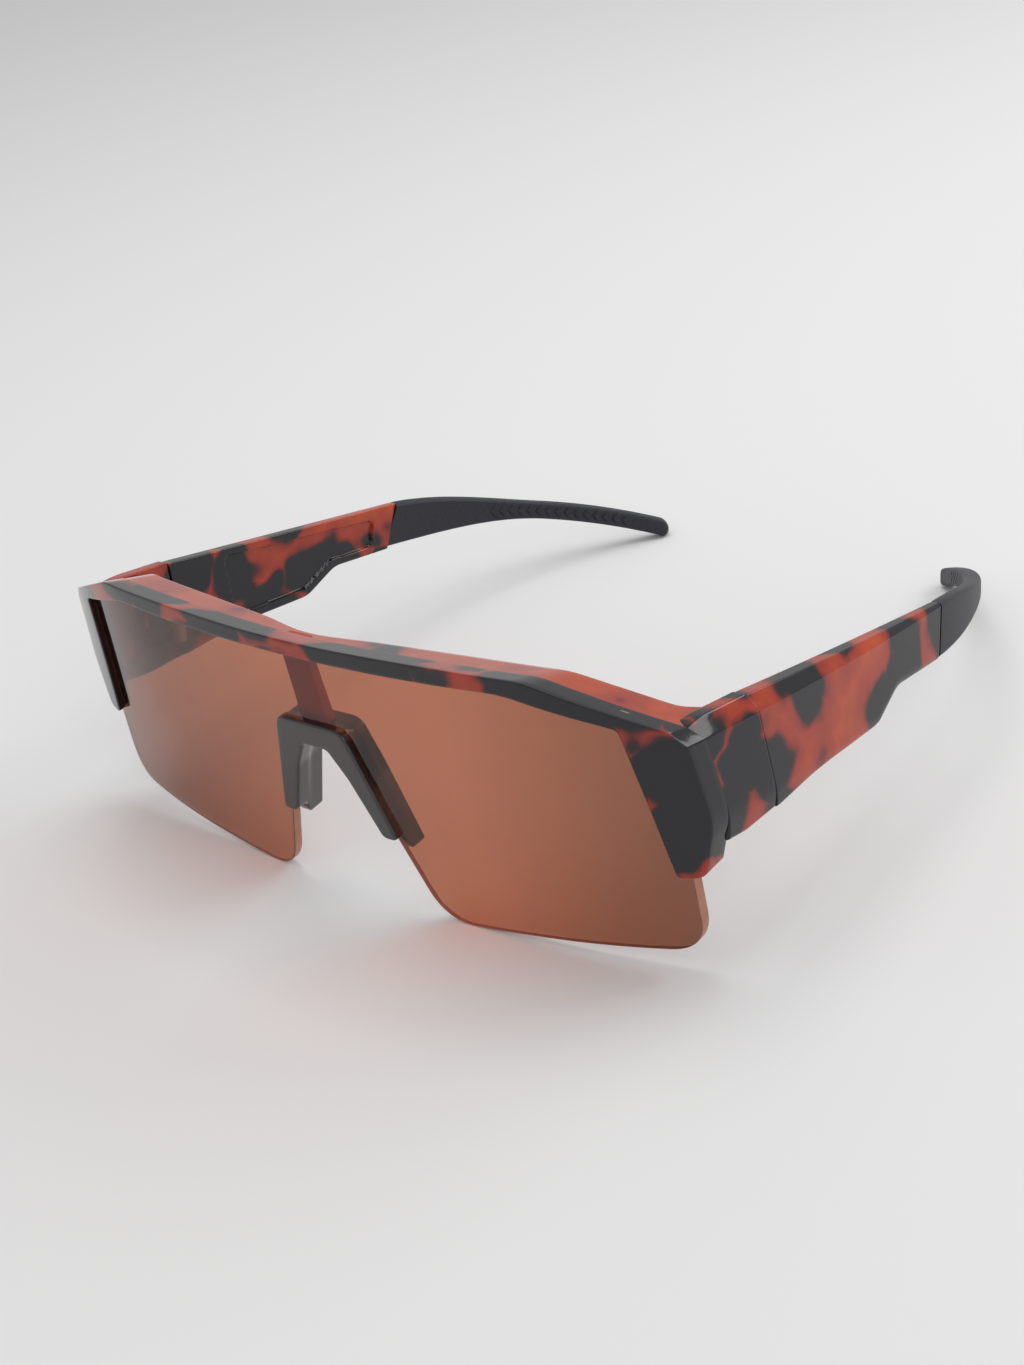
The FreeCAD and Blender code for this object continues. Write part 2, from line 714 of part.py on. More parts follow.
def hingeSpace(name, side):
    """Room for one leaf, the barrel and the fixing screws in a side wall."""
    y, length = leafSpan(side, "leafStart - 0.8", "leafStart + leafLength + leafFit")
    space = [
        box(name + "_leaf", ("innerHalfWidth - 6", y, HINGE_FOOT + " - leafFit"),
            ("6 + leafThickness + leafFit", length, "hingeHeight + 2 * leafFit")),
        rod(name + "_barrel", PIVOT + (HINGE_FOOT + " - barrelRelief",), "barrelRadius + barrelRelief",
            "hingeHeight + pinHeadHeight + 2 * barrelRelief"),
    ]
    for label, distance in (("near", "fixingNear"), ("far", "fixingFar")):
        across, back, height = fixingAt(side, distance)
        space.append(rod("%s_%s" % (name, label), (across, back, height),
                         "fixingRadius + fixingFit", "fixingLength + fixingFit", OUTWARDS))
    return fused(name, space)


def tipHeading(length):
    """Turn of the tip's path from straight back, in degrees, at a length along it."""
    return value("tipStartAngle") + math.degrees(length / value("tipHookRadius"))


def tipPoint(length):
    """Centre of the tip at a length along its path: a circle in plan, drooping evenly more."""
    radius = value("tipHookRadius")
    start = math.radians(value("tipStartAngle"))
    heading = math.radians(tipHeading(length))
    across = value("tipRootHalf") - radius * (math.cos(start) - math.cos(heading))
    back = value("tipRootReach") + radius * (math.sin(heading) - math.sin(start))
    droop = max(length, 0) ** 2 / (2 * value("tipDroopRadius"))
    return Vector(across, back, -value("tipRootDepth") - droop)


def acrossPath(length, roll=0.0, heading=None):
    """Placement of a section standing across the tip's path."""
    point = tipPoint(length)
    turn = tipHeading(length) if heading is None else heading
    return Placement(Vector(point.x, point.z, -point.y),
                     Rotation(Vector(0, 1, 0), turn).multiply(Rotation(Vector(0, 0, 1), roll)))


def rectangle(sketch, width, height):
    x, y = "(%s) / 2" % width, "(%s) / 2" % height
    addLoop(sketch, [("-" + x, "-" + y, None), (x, "-" + y, None), (x, y, None), ("-" + x, y, None)])


def bevelled(sketch, width, height, bevel):
    """Rectangle with its corners cut off, centred on the sketch."""
    x, y = "(%s) / 2" % width, "(%s) / 2" % height
    quarter = [(x, "%s - %s" % (y, bevel)), ("%s - %s" % (x, bevel), y)]
    half = quarter + [("-(%s)" % u, v) for u, v in reversed(quarter)]
    addLoop(sketch, [(u, v, None) for u, v in half + [("-(%s)" % u, "-(%s)" % v) for u, v in half]])


def tangBody(body, name, fit, length):
    """Flat blade along the start of the tip's path."""
    heading = tipHeading(value("tangLength") / 2)
    section = sketchOn(body, name + "_section", "XZ_Plane",
                       acrossPath(0, value("tipRootRollAngle"), heading))
    rectangle(section, "tangThickness + 2 * " + fit, "tangHeight + 2 * " + fit)
    return section, length


def jointAt(height, gap):
    """Where the slanted rear end of the arm stands at a height."""
    return "jointReach + %s + (%s) * tan(jointSlant)" % (gap, height)


def templeArm():
    """Wide temple arm: lofted blade, stepped underside, panel recess and tang."""
    body = doc.addObject("PartDesign::Body", "arm_blade")
    stations = [
        ("seamDepth - 4", "0", "bevelWidth", "0", "0", "0", "flareDepth"),
        ("midReach", "midInset", "bevelWidth * 0.6", "topDrop * 0.61", "-0.45", "innerRearInset * 0.45",
         "flareDepth - 1"),
        ("jointReach + 3", "jointInset + 0.3", "bevelRear", "topDrop * 1.03", "-bevelRear",
         "innerRearInset", "stepHeight"),
    ]
    sections = []
    for index, (reach, inset, bevel, drop, edge, inner, flare) in enumerate(stations):
        offset = Placement(Vector(0, 0, -value(reach)), Rotation())
        section = sketchOn(body, "arm_section_%d" % index, "XZ_Plane", offset)
        addLoop(section, [
            ("innerHalfWidth - %s" % inner, "-sideDepth - 8", None),
            ("cornerHalfWidth + sideFlare - (%s)" % inset, "-sideDepth - 8", None),
            ("cornerHalfWidth + sideFlare - (%s)" % inset, "-(%s)" % flare, None),
            ("cornerHalfWidth - (%s)" % inset, edge, None),
            ("cornerHalfWidth - (%s) - (%s)" % (inset, bevel), "topHeight - (%s)" % drop, None),
            ("innerHalfWidth - %s" % inner, "topHeight - (%s)" % drop, None),
        ])
        sections.append(section)
    blade = body.newObject("PartDesign::AdditiveLoft", "arm_loft")
    blade.Profile = sections[0]
    blade.Sections = sections[1:]
    side = sketchOn(body, "arm_side", "YZ_Plane")
    surround(side)
    addLoop(side, [
        (seamAt("-sideDepth + sideRise", "seamGap"), "-sideDepth + sideRise", None),
        ("bellyReach", "-bellyDepth", "bellyRadius"),
        ("stepStart", "-stepDepth", "stepRadius"),
        ("stepEnd", "-stepHeight", "stepRadius"),
        (jointAt("-stepHeight", "0"), "-stepHeight", None),
        (jointAt("6", "0"), "6", None),
        (seamAt("6", "seamGap"), "6", None),
    ])
    pocketThrough(body, "arm_trim", side)
    panelTurn = math.degrees(math.atan2(value("innerRearInset"), value("jointReach - seamDepth")))
    panelX = value("innerHalfWidth - innerRearInset * (recessStart - seamDepth) / (jointReach - seamDepth)")
    panelPlane = Placement(Vector(value("recessStart"), 0, panelX), Rotation(Vector(0, 1, 0), panelTurn))
    panel = sketchOn(body, "arm_panel", "YZ_Plane", panelPlane)
    addLoop(panel, [
        ("2", "-bellyDepth + recessRim", "recessRadius"),
        ("stepStart - recessStart - 2", "-stepDepth + recessRim", "stepRadius / 2"),
        ("stepEnd - recessStart - 1", "-stepHeight + recessRim", "recessRadius"),
        ("recessEnd - recessStart - 1.5", "-stepHeight + recessRim", "recessRadius"),
        ("recessEnd - recessStart", "-recessRim - topDrop * 0.15", "recessRadius"),
        ("0", "topHeight - recessRim - topDrop * 0.3", "recessRadius"),
    ])
    recess = body.newObject("PartDesign::Pocket", "arm_recess")
    recess.Profile = panel
    recess.SideType = "Two sides"
    recess.Type = "Length"
    recess.Type2 = "Length"
    bind(recess, "Length", "4")
    bind(recess, "Length2", "recessDepth")
    section, length = tangBody(body, "tang", "0", "tangLength")
    tang = body.newObject("PartDesign::Pad", "tang_pad")
    tang.Profile = section
    tang.SideType = "Two sides"
    bind(tang, "Length", "4")
    bind(tang, "Length2", length)
    return body


def templeTip(name):
    """Rubber tip along the path, deep at the arm and slim at the end, with the tang's socket."""
    body = doc.addObject("PartDesign::Body", name)
    steps = ["-4", "6", "tipTaperLength * 0.4", "tipTaperLength * 0.7", "tipTaperLength",
             "(tipTaperLength + tipLength) / 2", "tipLength"]
    sections = []
    for index, step in enumerate(steps):
        length = value(step)
        share = min(max(length / value("tipTaperLength"), 0), 1)
        full = 1 - 3 * share ** 2 + 2 * share ** 3
        section = sketchOn(body, "%s_section_%d" % (name, index), "XZ_Plane",
                           acrossPath(length, value("tipRootRollAngle") * full))
        bevelled(section,
                 "tipEndThickness + (tipRootThickness - tipEndThickness) * %.5f" % full,
                 "tipEndHeight + (tipRootHeight - tipEndHeight) * %.5f" % full, "tipBevel")
        sections.append(section)
    loft = body.newObject("PartDesign::AdditiveLoft", name + "_loft")
    loft.Profile = sections[0]
    loft.Sections = sections[1:]
    nose = sketchOn(body, name + "_nose", "XZ_Plane", acrossPath(value("tipLength + tipNose")))
    bevelled(nose, "tipEndThickness - 1.6 * tipNose", "tipEndHeight - 1.6 * tipNose", "tipBevel / 2")
    cap = body.newObject("PartDesign::AdditiveLoft", name + "_cap")
    cap.Profile = sections[-1]
    cap.Sections = [nose]
    cap.Ruled = True
    front = sketchOn(body, name + "_front", "YZ_Plane")
    addLoop(front, [
        (jointAt("-30", "tipSeat"), "-30", None),
        (jointAt("20", "tipSeat"), "20", None),
        ("0", "20", None),
        ("0", "-30", None),
    ])
    pocketThrough(body, name + "_front_trim", front)
    section, length = tangBody(body, name + "_socket", "tangFit", "tangLength + 4 * tangFit")
    socket = body.newObject("PartDesign::Pocket", name + "_socket_cut")
    socket.Profile = section
    socket.SideType = "Two sides"
    socket.Type = "Length"
    socket.Type2 = "Length"
    bind(socket, "Length", length)
    bind(socket, "Length2", "10")
    return body


def mirrorOf(piece, name):
    twin = doc.addObject("Part::Mirroring", name)
    twin.Source = piece
    twin.Normal = Vector(1, 0, 0)
    return twin


def build():
    """Sub-parts of the middle and of the left side, which the right side mirrors."""
    spaceLeft = hingeSpace("front_space", -1)
    lensSpace = curvedSheet("lens_space", "-lensFit", "lensThickness + lensFit", [lensOutline("lensFit")])
    blank = fused("front_blank", [browShell(), ledge(), endPieces(), noseBridge()])
    shaped = doc.addObject("Part::MultiCommon", "front_shaped")
    shaped.Shapes = [blank, betweenSides()]
    rooms = fused("front_rooms", [
        aheadOfLip(), lensSpace, spaceLeft, mirrorOf(spaceLeft, "front_space_right")])
    middle = {
        "front_frame": cut("front_frame", shaped, rooms),
        "shield_lens": curvedSheet("shield_lens", "0", "lensThickness", [lensOutline("0")]),
    }
    left = {
        "temple_arm": cut("arm", templeArm(), hingeSpace("arm_space", 1)),
        "temple_tip": templeTip("tip"),
        "front_hinge": hingeLeaf("front_leaf", -1),
        "temple_hinge": hingeLeaf("temple_leaf", 1),
        "hinge_screw": hingeScrew("pin"),
    }
    for end, side in (("front", -1), ("temple", 1)):
        for place, distance in (("near", "fixingNear"), ("far", "fixingFar")):
            name = "%s_%s_fixing_screw" % (end, place)
            left[name] = fixingScrew("%s_%s_fixing" % (end, place), side, distance)
    return middle, left


def lowest(points, tilt):
    """Least height of a cloud of points after tipping it back by a tilt in radians."""
    return min(point.z * math.cos(tilt) - point.y * math.sin(tilt) for point in points)


def stance(lens, tip):
    """Placement that stands the lens' lower edge and the temple tips on one surface."""
    front = lens.Shape.tessellate(0.02)[0]
    rear = tip.Shape.tessellate(0.02)[0]
    low, high = 0.0, math.radians(40)
    for step in range(40):
        tilt = (low + high) / 2
        if lowest(rear, tilt) > lowest(front, tilt):
            low = tilt
        else:
            high = tilt
    return Placement(Vector(0, 0, -lowest(front, tilt)), Rotation(Vector(1, 0, 0), -math.degrees(tilt)))


def centred(pieces, placement):
    """The same placement, moved so that the whole stands centred front to back."""
    spans = []
    for piece in pieces:
        shape = piece.Shape.copy()
        shape.Placement = placement.multiply(shape.Placement)
        spans += [point.y for point in shape.tessellate(0.02)[0]]
    return Placement(Vector(0, -(min(spans) + max(spans)) / 2, 0), Rotation()).multiply(placement)


middle, left = build()
doc.recompute()
standing = stance(middle["shield_lens"], left["temple_tip"])
standing = centred([middle["front_frame"], middle["shield_lens"], left["temple_tip"]], standing)
nodes = dict(middle)
for name, piece in left.items():
    nodes["left_" + name] = piece
for piece in nodes.values():
    piece.Placement = standing
for name, piece in left.items():
    nodes["right_" + name] = mirrorOf(piece, "right_" + name)
for name, piece in nodes.items():
    piece.Label = name
doc.recompute()

for item in doc.Objects:
    if {"Invalid", "Error"} & set(item.State):
        raise RuntimeError("%s: %s" % (item.Label, item.State))
os.makedirs("parts", exist_ok=True)
for name, piece in nodes.items():
    shape = piece.Shape
    if shape.isNull() or not shape.isValid() or len(shape.Solids) != 1:
        raise RuntimeError(name + " is not one valid solid")
    shape.exportStep("parts/%s.step" % name)
print("turn %.4f rad, base %.4f %.4f, %d parts" % (
    standing.Rotation.toEulerAngles("XYZ")[0] * math.pi / 180, standing.Base.y, standing.Base.z, len(nodes)))
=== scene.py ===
import json
import math

import bmesh
import bpy
import numpy as np
from mathutils import Matrix


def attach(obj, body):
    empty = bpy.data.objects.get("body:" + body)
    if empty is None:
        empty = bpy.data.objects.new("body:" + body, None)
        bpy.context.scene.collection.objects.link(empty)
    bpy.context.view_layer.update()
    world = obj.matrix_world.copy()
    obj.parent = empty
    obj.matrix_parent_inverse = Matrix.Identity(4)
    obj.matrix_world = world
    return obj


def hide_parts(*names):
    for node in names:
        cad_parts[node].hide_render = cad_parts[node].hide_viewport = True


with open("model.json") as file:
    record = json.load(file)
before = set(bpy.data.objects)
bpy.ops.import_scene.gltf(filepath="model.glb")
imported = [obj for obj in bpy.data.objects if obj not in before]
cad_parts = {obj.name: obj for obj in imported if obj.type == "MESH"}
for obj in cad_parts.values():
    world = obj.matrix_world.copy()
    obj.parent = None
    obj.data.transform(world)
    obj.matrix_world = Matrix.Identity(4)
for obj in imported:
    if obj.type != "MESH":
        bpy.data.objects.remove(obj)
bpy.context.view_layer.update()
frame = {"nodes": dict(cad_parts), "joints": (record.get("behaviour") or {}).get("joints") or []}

# Working frame: millimetres, X to the wearer's left, Y back from the front corners, Z up with
# the temples level. The left hinge in the frame says how the glasses stand.
hinge = next(joint for joint in frame["joints"] if joint["name"] == "left_temple_hinge")
hingePlace = {"back": 20.6, "height": -8.4}
tilt = math.atan2(hinge["axis"][1], hinge["axis"][2])
tiltCos, tiltSin = math.cos(tilt), math.sin(tilt)
baseY = hinge["pos_m"][1] * 1000 - hingePlace["back"] * tiltCos - hingePlace["height"] * tiltSin
baseZ = hinge["pos_m"][2] * 1000 + hingePlace["back"] * tiltSin - hingePlace["height"] * tiltCos


def toRow(points):
    # A turn about X and a shift, from the working frame to the row frame in metres
    x, y, z = np.moveaxis(np.asarray(points, float), -1, 0)
    return np.stack([x, y * tiltCos + z * tiltSin + baseY, z * tiltCos - y * tiltSin + baseZ], -1) / 1000


# The lens' sheet, which the rim follows: radii of its wrap at the top and the foot, and its lean
sheet = {"baseRadius": 340.0, "wrapTop": 80.0, "wrapFoot": 236.0, "wrapStart": 42.0,
         "top": 20.0, "foot": -50.0, "bulge": 11.4, "lean": math.radians(15.5)}
# The brow bar's top and the ledge fall this much towards the back
topFall = math.radians(6.8)
# A height on the curved sheet settles in so many rounds
settleTurns = 8
# An arc takes at most this share of the side it rounds
longestArc = 0.48
creaseAngle = math.radians(40)
mergeDistance = 1e-7


def sag(x, wrap):
    # Base arc in the middle, then a tighter arc that leaves it smoothly
    base, start = sheet["baseRadius"], sheet["wrapStart"]
    turn = math.asin(start / base)
    far = np.abs(x)
    middle = base - np.sqrt(base ** 2 - np.minimum(far, start) ** 2)
    out = np.maximum(far - start, 0) + wrap * math.sin(turn)
    return middle + wrap * math.cos(turn) - np.sqrt(wrap ** 2 - out ** 2)


def sheetDepth(x, w):
    # Straight blend from the top curve to the foot curve
    share = (sheet["top"] - w) / (sheet["top"] - sheet["foot"])
    return sag(x, sheet["wrapTop"]) * (1 - share) + sag(x, sheet["wrapFoot"]) * share - sheet["bulge"]


def leaned(x, n, w):
    lean = sheet["lean"]
    return np.stack([x, n * math.cos(lean) - w * math.sin(lean), n * math.sin(lean) + w * math.cos(lean)], -1)


def onSheet(x, w, depth):
    # A point so far behind the lens' front face, at half width x and height w along the lean
    return leaned(x, sheetDepth(x, w) + depth, w)


def sheetBack(x, z, depth):
    # How far back the sheet stands at half width x and height z
    w = z
    for turn in range(settleTurns):
        n = sheetDepth(x, w) + depth
        w = (z - n * math.sin(sheet["lean"])) / math.cos(sheet["lean"])
    return n * math.cos(sheet["lean"]) - w * math.sin(sheet["lean"])


def rounded(corners, radii, arcPoints=8, sidePoints=6, closed=True):
    # Outline through corners (..., count, 2 or more): each rounded by a parabola arc whose
    # reach comes from its radius, with even points on the straight sides between
    corners = np.asarray(corners, float)
    count = corners.shape[-2]
    sides = sidePoints if isinstance(sidePoints, (list, tuple)) else [sidePoints] * count
    t = np.linspace(0, 1, arcPoints)[:, None]
    arcs = []
    for index in range(count):
        here = corners[..., index, :]
        before, after = corners[..., index - 1, :], corners[..., (index + 1) % count, :]
        radius = radii[index]
        if radius == 0 or (not closed and index in (0, count - 1)):
            arcs.append(here[..., None, :])
        else:
            arriving, leaving = before - here, after - here
            a = np.linalg.norm(arriving[..., :2], axis=-1, keepdims=True)
            b = np.linalg.norm(leaving[..., :2], axis=-1, keepdims=True)
            cosine = np.sum(arriving[..., :2] * leaving[..., :2], -1, keepdims=True) / (a * b)
            reach = radius * np.sqrt(np.clip((1 + cosine) / (1 - cosine), 0, None))
            reach = np.minimum(reach, longestArc * np.minimum(a, b))
            first, last = here + arriving / a * reach, here + leaving / b * reach
            arcs.append((1 - t) ** 2 * first[..., None, :] + 2 * t * (1 - t) * here[..., None, :]
                        + t ** 2 * last[..., None, :])
    parts = []
    for index, arc in enumerate(arcs):
        parts.append(arc)
        if closed or index < count - 1:
            start, end = arc[..., -1:, :], arcs[(index + 1) % count][..., :1, :]
            s = np.linspace(0, 1, sides[index] + 2)[1:-1, None]
            parts.append(start * (1 - s) + end * s)
    return np.concatenate(parts, -2)


def roundEnd(end, before, radius, steps=4):
    # Rings that round a tube's end: drawn in along the outline's normal while moving out
    along = end - before
    along /= np.linalg.norm(along, axis=-1, keepdims=True)
    around = np.roll(end, -1, 0) - np.roll(end, 1, 0)
    normal = np.cross(around, along)
    normal /= np.maximum(np.linalg.norm(normal, axis=-1, keepdims=True), 1e-9)
    if np.sum(normal * (end - end.mean(0))) < 0:
        normal = -normal
    angles = np.linspace(0, math.pi / 2, steps)[:, None, None]
    return end - along * radius * (1 - np.sin(angles)) - normal * radius * (1 - np.cos(angles))


def tube(name, grid, endRadius=0.0):
    # Closed skin over a grid: stations along the first axis, points around along the second
    if endRadius:
        head = roundEnd(grid[0], grid[1], endRadius)[::-1]
        tail = roundEnd(grid[-1], grid[-2], endRadius)
        grid = np.concatenate([head, grid[1:-1], tail])
    stations, around = grid.shape[:2]
    i = np.arange(stations - 1)[:, None] * around
    j = np.arange(around)[None]
    k = (j + 1) % around
    quads = np.stack([i + j, i + k, i + around + k, i + around + j], -1).reshape(-1, 4)
    caps = [list(range(around)), list(range((stations - 1) * around, stations * around))]
    mesh = bpy.data.meshes.new(name)
    mesh.from_pydata(toRow(grid.reshape(-1, 3)).tolist(), [], quads.tolist() + caps)
    shell = bmesh.new()
    shell.from_mesh(mesh)
    bmesh.ops.remove_doubles(shell, verts=shell.verts, dist=mergeDistance)
    bmesh.ops.recalc_face_normals(shell, faces=shell.faces)
    shell.to_mesh(mesh)
    shell.free()
    mesh.shade_smooth()
    mesh.set_sharp_from_angle(angle=creaseAngle)
    piece = bpy.data.objects.new(name, mesh)
    bpy.context.scene.collection.objects.link(piece)
    return piece


def dress(piece, body, slot, material, *nodes):
    piece.data.materials.append(material)
    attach(piece, body)
    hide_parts(*nodes)
    print("made", piece.name, len(piece.data.polygons), "faces")
    return piece


def bothWays(half):
    # The half path from the middle out, with its mirror image before it
    half = np.asarray(half, float)
    other = half[:0:-1] if half[0][0] == 0 else half[::-1]
    return np.concatenate([other * ([-1] + [1] * (half.shape[-1] - 1)), half])


def sectionLoop(across, walls, arc=5):
    # Rounded rectangle as shares of the width and the depth, and unit offsets of the radius
    angle = np.linspace(0, math.pi / 2, arc + 1)[1:-1]
    s = np.linspace(0, 1, across + 1)
    v = np.linspace(0, 1, walls + 1)
    one, none = np.ones_like, np.zeros_like
    rows = [
        (s, 1 - 2 * s, none(s), none(s)),
        (one(angle), np.sin(angle) - 1, none(angle), 1 - np.cos(angle)),
        (one(v), none(v), v, 1 - 2 * v),
        (one(angle), np.cos(angle) - 1, one(angle), np.sin(angle) - 1),
        (s[::-1], 1 - 2 * s[::-1], one(s), none(s)),
        (none(angle), 1 - np.sin(angle), one(angle), np.cos(angle) - 1),
        (none(v), none(v), v[::-1], 1 - 2 * v[::-1]),
        (none(angle), 1 - np.cos(angle), none(angle), 1 - np.sin(angle)),
    ]
    return [np.concatenate(column) for column in zip(*rows)]


def ribbon(innerAt, outerAt, place, front, thickness, radius, backRadius=None, across=6, walls=4):
    # Plate between two paths: its rounded section is carried along them, front face to rear,
    # and the rear half of the section may have a radius of its own
    share, offset, depthShare, lift = sectionLoop(across, walls)
    backRadius = radius if backRadius is None else backRadius
    curve = np.where(depthShare + 0.1 * lift > 0.5, backRadius, radius)
    depth = front + depthShare * thickness + lift * curve
    inner, outer = innerAt(depth), outerAt(depth)
    width = np.maximum(np.linalg.norm(outer - inner, axis=-1), 1e-6)
    part = share + offset * np.minimum(curve, 0.45 * width) / width
    point = inner + (outer - inner) * part[..., None]
    return place(point[..., 0], point[..., 1], depth)


def fixedPath(path):
    return lambda depth: np.repeat(path[:, None, :], len(depth), 1)


print("surfaces ready")


# Materials

def newMaterial(name):
    material = bpy.data.materials.new(name)
    material.use_nodes = True
    tree = material.node_tree
    tree.nodes.clear()
    return material, tree


def addNode(tree, kind, **settings):
    node = tree.nodes.new(kind)
    for key, value in settings.items():
        if key in node.inputs:
            node.inputs[key].default_value = value
        else:
            setattr(node, key, value)
    return node


def link(tree, source, target):
    tree.links.new(source, target)


def ramp(tree, stops, source):
    node = tree.nodes.new("ShaderNodeValToRGB")
    elements = node.color_ramp.elements
    while len(elements) < len(stops):
        elements.new(0.5)
    for element, (place, colour) in zip(elements, stops):
        element.position = place
        element.color = (*colour, 1)
    link(tree, source, node.inputs[0])
    return node


def spanned(tree, source, low, high, start=0.0, end=1.0):
    # The source's start to end, turned into low to high
    node = tree.nodes.new("ShaderNodeMapRange")
    for name, value in (("From Min", start), ("From Max", end), ("To Min", low), ("To Max", high)):
        node.inputs[name].default_value = value
    link(tree, source, node.inputs["Value"])
    return node.outputs["Result"]


def colour(text):
    # Hex colour as it shows on screen, to linear light
    parts = [int(text[i:i + 2], 16) / 255 for i in (0, 2, 4)]
    return tuple(p / 12.92 if p <= 0.04045 else ((p + 0.055) / 1.055) ** 2.4 for p in parts)


# Cells to a metre; the other scales are those of the noises that bend, size and cloud the blobs
tortoise = {
    "cells": 92.0, "stretch": (1.0, 0.8, 1.0), "scatter": 0.85, "wander": 0.0045, "wanderScale": 110.0,
    "uneven": 0.22, "unevenScale": 70.0, "blob": (0.006, 0.006, 0.010), "shade": (0.05, 0.007, 0.006),
    "edge": (0.20, 0.016, 0.007), "net": (0.38, 0.030, 0.009), "hot": (0.50, 0.060, 0.010),
    "cloudScale": 260.0, "cloudShade": (0.55, 0.5, 0.5), "cloudShare": 0.4,
    "fineScale": 900.0, "gloss": (0.06, 0.16), "ior": 1.42, "coat": 0.25, "coatGloss": 0.06,
    "ripple": 0.04, "rippleDepth": 0.0002,
}


def tortoiseGroup():
    # Dark rounded blobs in a warm net: distance to the middles of wandering cells, against
    # a size that drifts from place to place
    group = bpy.data.node_groups.new("tortoiseShell", "ShaderNodeTree")
    for name, kind in (("Vector", "NodeSocketVector"), ("Cells", "NodeSocketFloat"),
                       ("Dark", "NodeSocketFloat")):
        group.interface.new_socket(name=name, in_out="INPUT", socket_type=kind)
    for name, kind in (("Color", "NodeSocketColor"), ("Roughness", "NodeSocketFloat"),
                       ("Height", "NodeSocketFloat")):
        group.interface.new_socket(name=name, in_out="OUTPUT", socket_type=kind)
    entry = addNode(group, "NodeGroupInput")
    leave = addNode(group, "NodeGroupOutput")

    # The place is pushed about by a slow noise, so that the cells wander
    drift = addNode(group, "ShaderNodeTexNoise", Scale=tortoise["wanderScale"], Detail=1.5)
    centred = addNode(group, "ShaderNodeVectorMath", operation="SUBTRACT")
    centred.inputs[1].default_value = (0.5, 0.5, 0.5)
    scaled = addNode(group, "ShaderNodeVectorMath", operation="SCALE", Scale=tortoise["wander"] * 2)
    moved = addNode(group, "ShaderNodeVectorMath", operation="ADD")
    stretched = addNode(group, "ShaderNodeVectorMath", operation="MULTIPLY")
    stretched.inputs[1].default_value = tortoise["stretch"]
    blobs = addNode(group, "ShaderNodeTexVoronoi", feature="F1", Randomness=tortoise["scatter"])
    link(group, entry.outputs["Vector"], drift.inputs["Vector"])
    link(group, drift.outputs["Color"], centred.inputs[0])
    link(group, centred.outputs[0], scaled.inputs[0])
    link(group, entry.outputs["Vector"], moved.inputs[0])
    link(group, scaled.outputs[0], moved.inputs[1])
    link(group, moved.outputs[0], stretched.inputs[0])
    link(group, stretched.outputs[0], blobs.inputs["Vector"])
    link(group, entry.outputs["Cells"], blobs.inputs["Scale"])

    # How far a point lies beyond its blob, and the shade that goes with it
    sizes = addNode(group, "ShaderNodeTexNoise", Scale=tortoise["unevenScale"], Detail=1.0)
    link(group, entry.outputs["Vector"], sizes.inputs["Vector"])
    reach = addNode(group, "ShaderNodeMath", operation="ADD")
    link(group, entry.outputs["Dark"], reach.inputs[0])
    uneven = spanned(group, sizes.outputs["Fac"], -tortoise["uneven"] / 2, tortoise["uneven"] / 2, 0.25, 0.75)
    link(group, uneven, reach.inputs[1])
    beyond = addNode(group, "ShaderNodeMath", operation="SUBTRACT")
    link(group, blobs.outputs["Distance"], beyond.inputs[0])
    link(group, reach.outputs[0], beyond.inputs[1])
    spread = spanned(group, beyond.outputs[0], 0.0, 1.0, -0.1, 0.4)
    stops = [(0.14, "blob"), (0.21, "shade"), (0.28, "edge"), (0.42, "net"), (1.0, "hot")]
    shades = ramp(group, [(place, tortoise[name]) for place, name in stops], spread)

    # Clouds inside the plastic; inputs 6 and 7 and output 2 are the mix node's colours
    cloud = addNode(group, "ShaderNodeTexNoise", Scale=tortoise["cloudScale"], Detail=3.0)
    link(group, entry.outputs["Vector"], cloud.inputs["Vector"])
    haze = ramp(group, [(0.3, tortoise["cloudShade"]), (0.65, (1, 1, 1))], cloud.outputs["Fac"])
    tint = addNode(group, "ShaderNodeMix", data_type="RGBA", blend_type="MULTIPLY",
                   Factor=tortoise["cloudShare"])
    link(group, shades.outputs["Color"], tint.inputs[6])
    link(group, haze.outputs["Color"], tint.inputs[7])
    fine = addNode(group, "ShaderNodeTexNoise", Scale=tortoise["fineScale"], Detail=5.0)
    link(group, entry.outputs["Vector"], fine.inputs["Vector"])
    link(group, tint.outputs[2], leave.inputs["Color"])
    link(group, spanned(group, fine.outputs["Fac"], *tortoise["gloss"]), leave.inputs["Roughness"])
    link(group, cloud.outputs["Fac"], leave.inputs["Height"])
    return group


def finished(material, tree, shader):
    output = addNode(tree, "ShaderNodeOutputMaterial")
    link(tree, shader, output.inputs["Surface"])
    return material


def tortoisePlastic(name, group, shift, dark):
    # dark sets how large the blobs are
    material, tree = newMaterial(name)
    place = addNode(tree, "ShaderNodeTexCoord")
    mapping = addNode(tree, "ShaderNodeMapping", Location=shift)
    pattern = addNode(tree, "ShaderNodeGroup", node_tree=group)
    pattern.inputs["Cells"].default_value = tortoise["cells"]
    pattern.inputs["Dark"].default_value = dark
    surface = addNode(tree, "ShaderNodeBsdfPrincipled")
    surface.inputs["IOR"].default_value = tortoise["ior"]
    surface.inputs["Coat Weight"].default_value = tortoise["coat"]
    surface.inputs["Coat Roughness"].default_value = tortoise["coatGloss"]
    bump = addNode(tree, "ShaderNodeBump", Strength=tortoise["ripple"], Distance=tortoise["rippleDepth"])
    link(tree, place.outputs["Object"], mapping.inputs["Vector"])
    link(tree, mapping.outputs["Vector"], pattern.inputs["Vector"])
    link(tree, pattern.outputs["Color"], surface.inputs["Base Color"])
    link(tree, pattern.outputs["Roughness"], surface.inputs["Roughness"])
    link(tree, pattern.outputs["Height"], bump.inputs["Height"])
    link(tree, bump.outputs["Normal"], surface.inputs["Normal"])
    return finished(material, tree, surface.outputs["BSDF"])


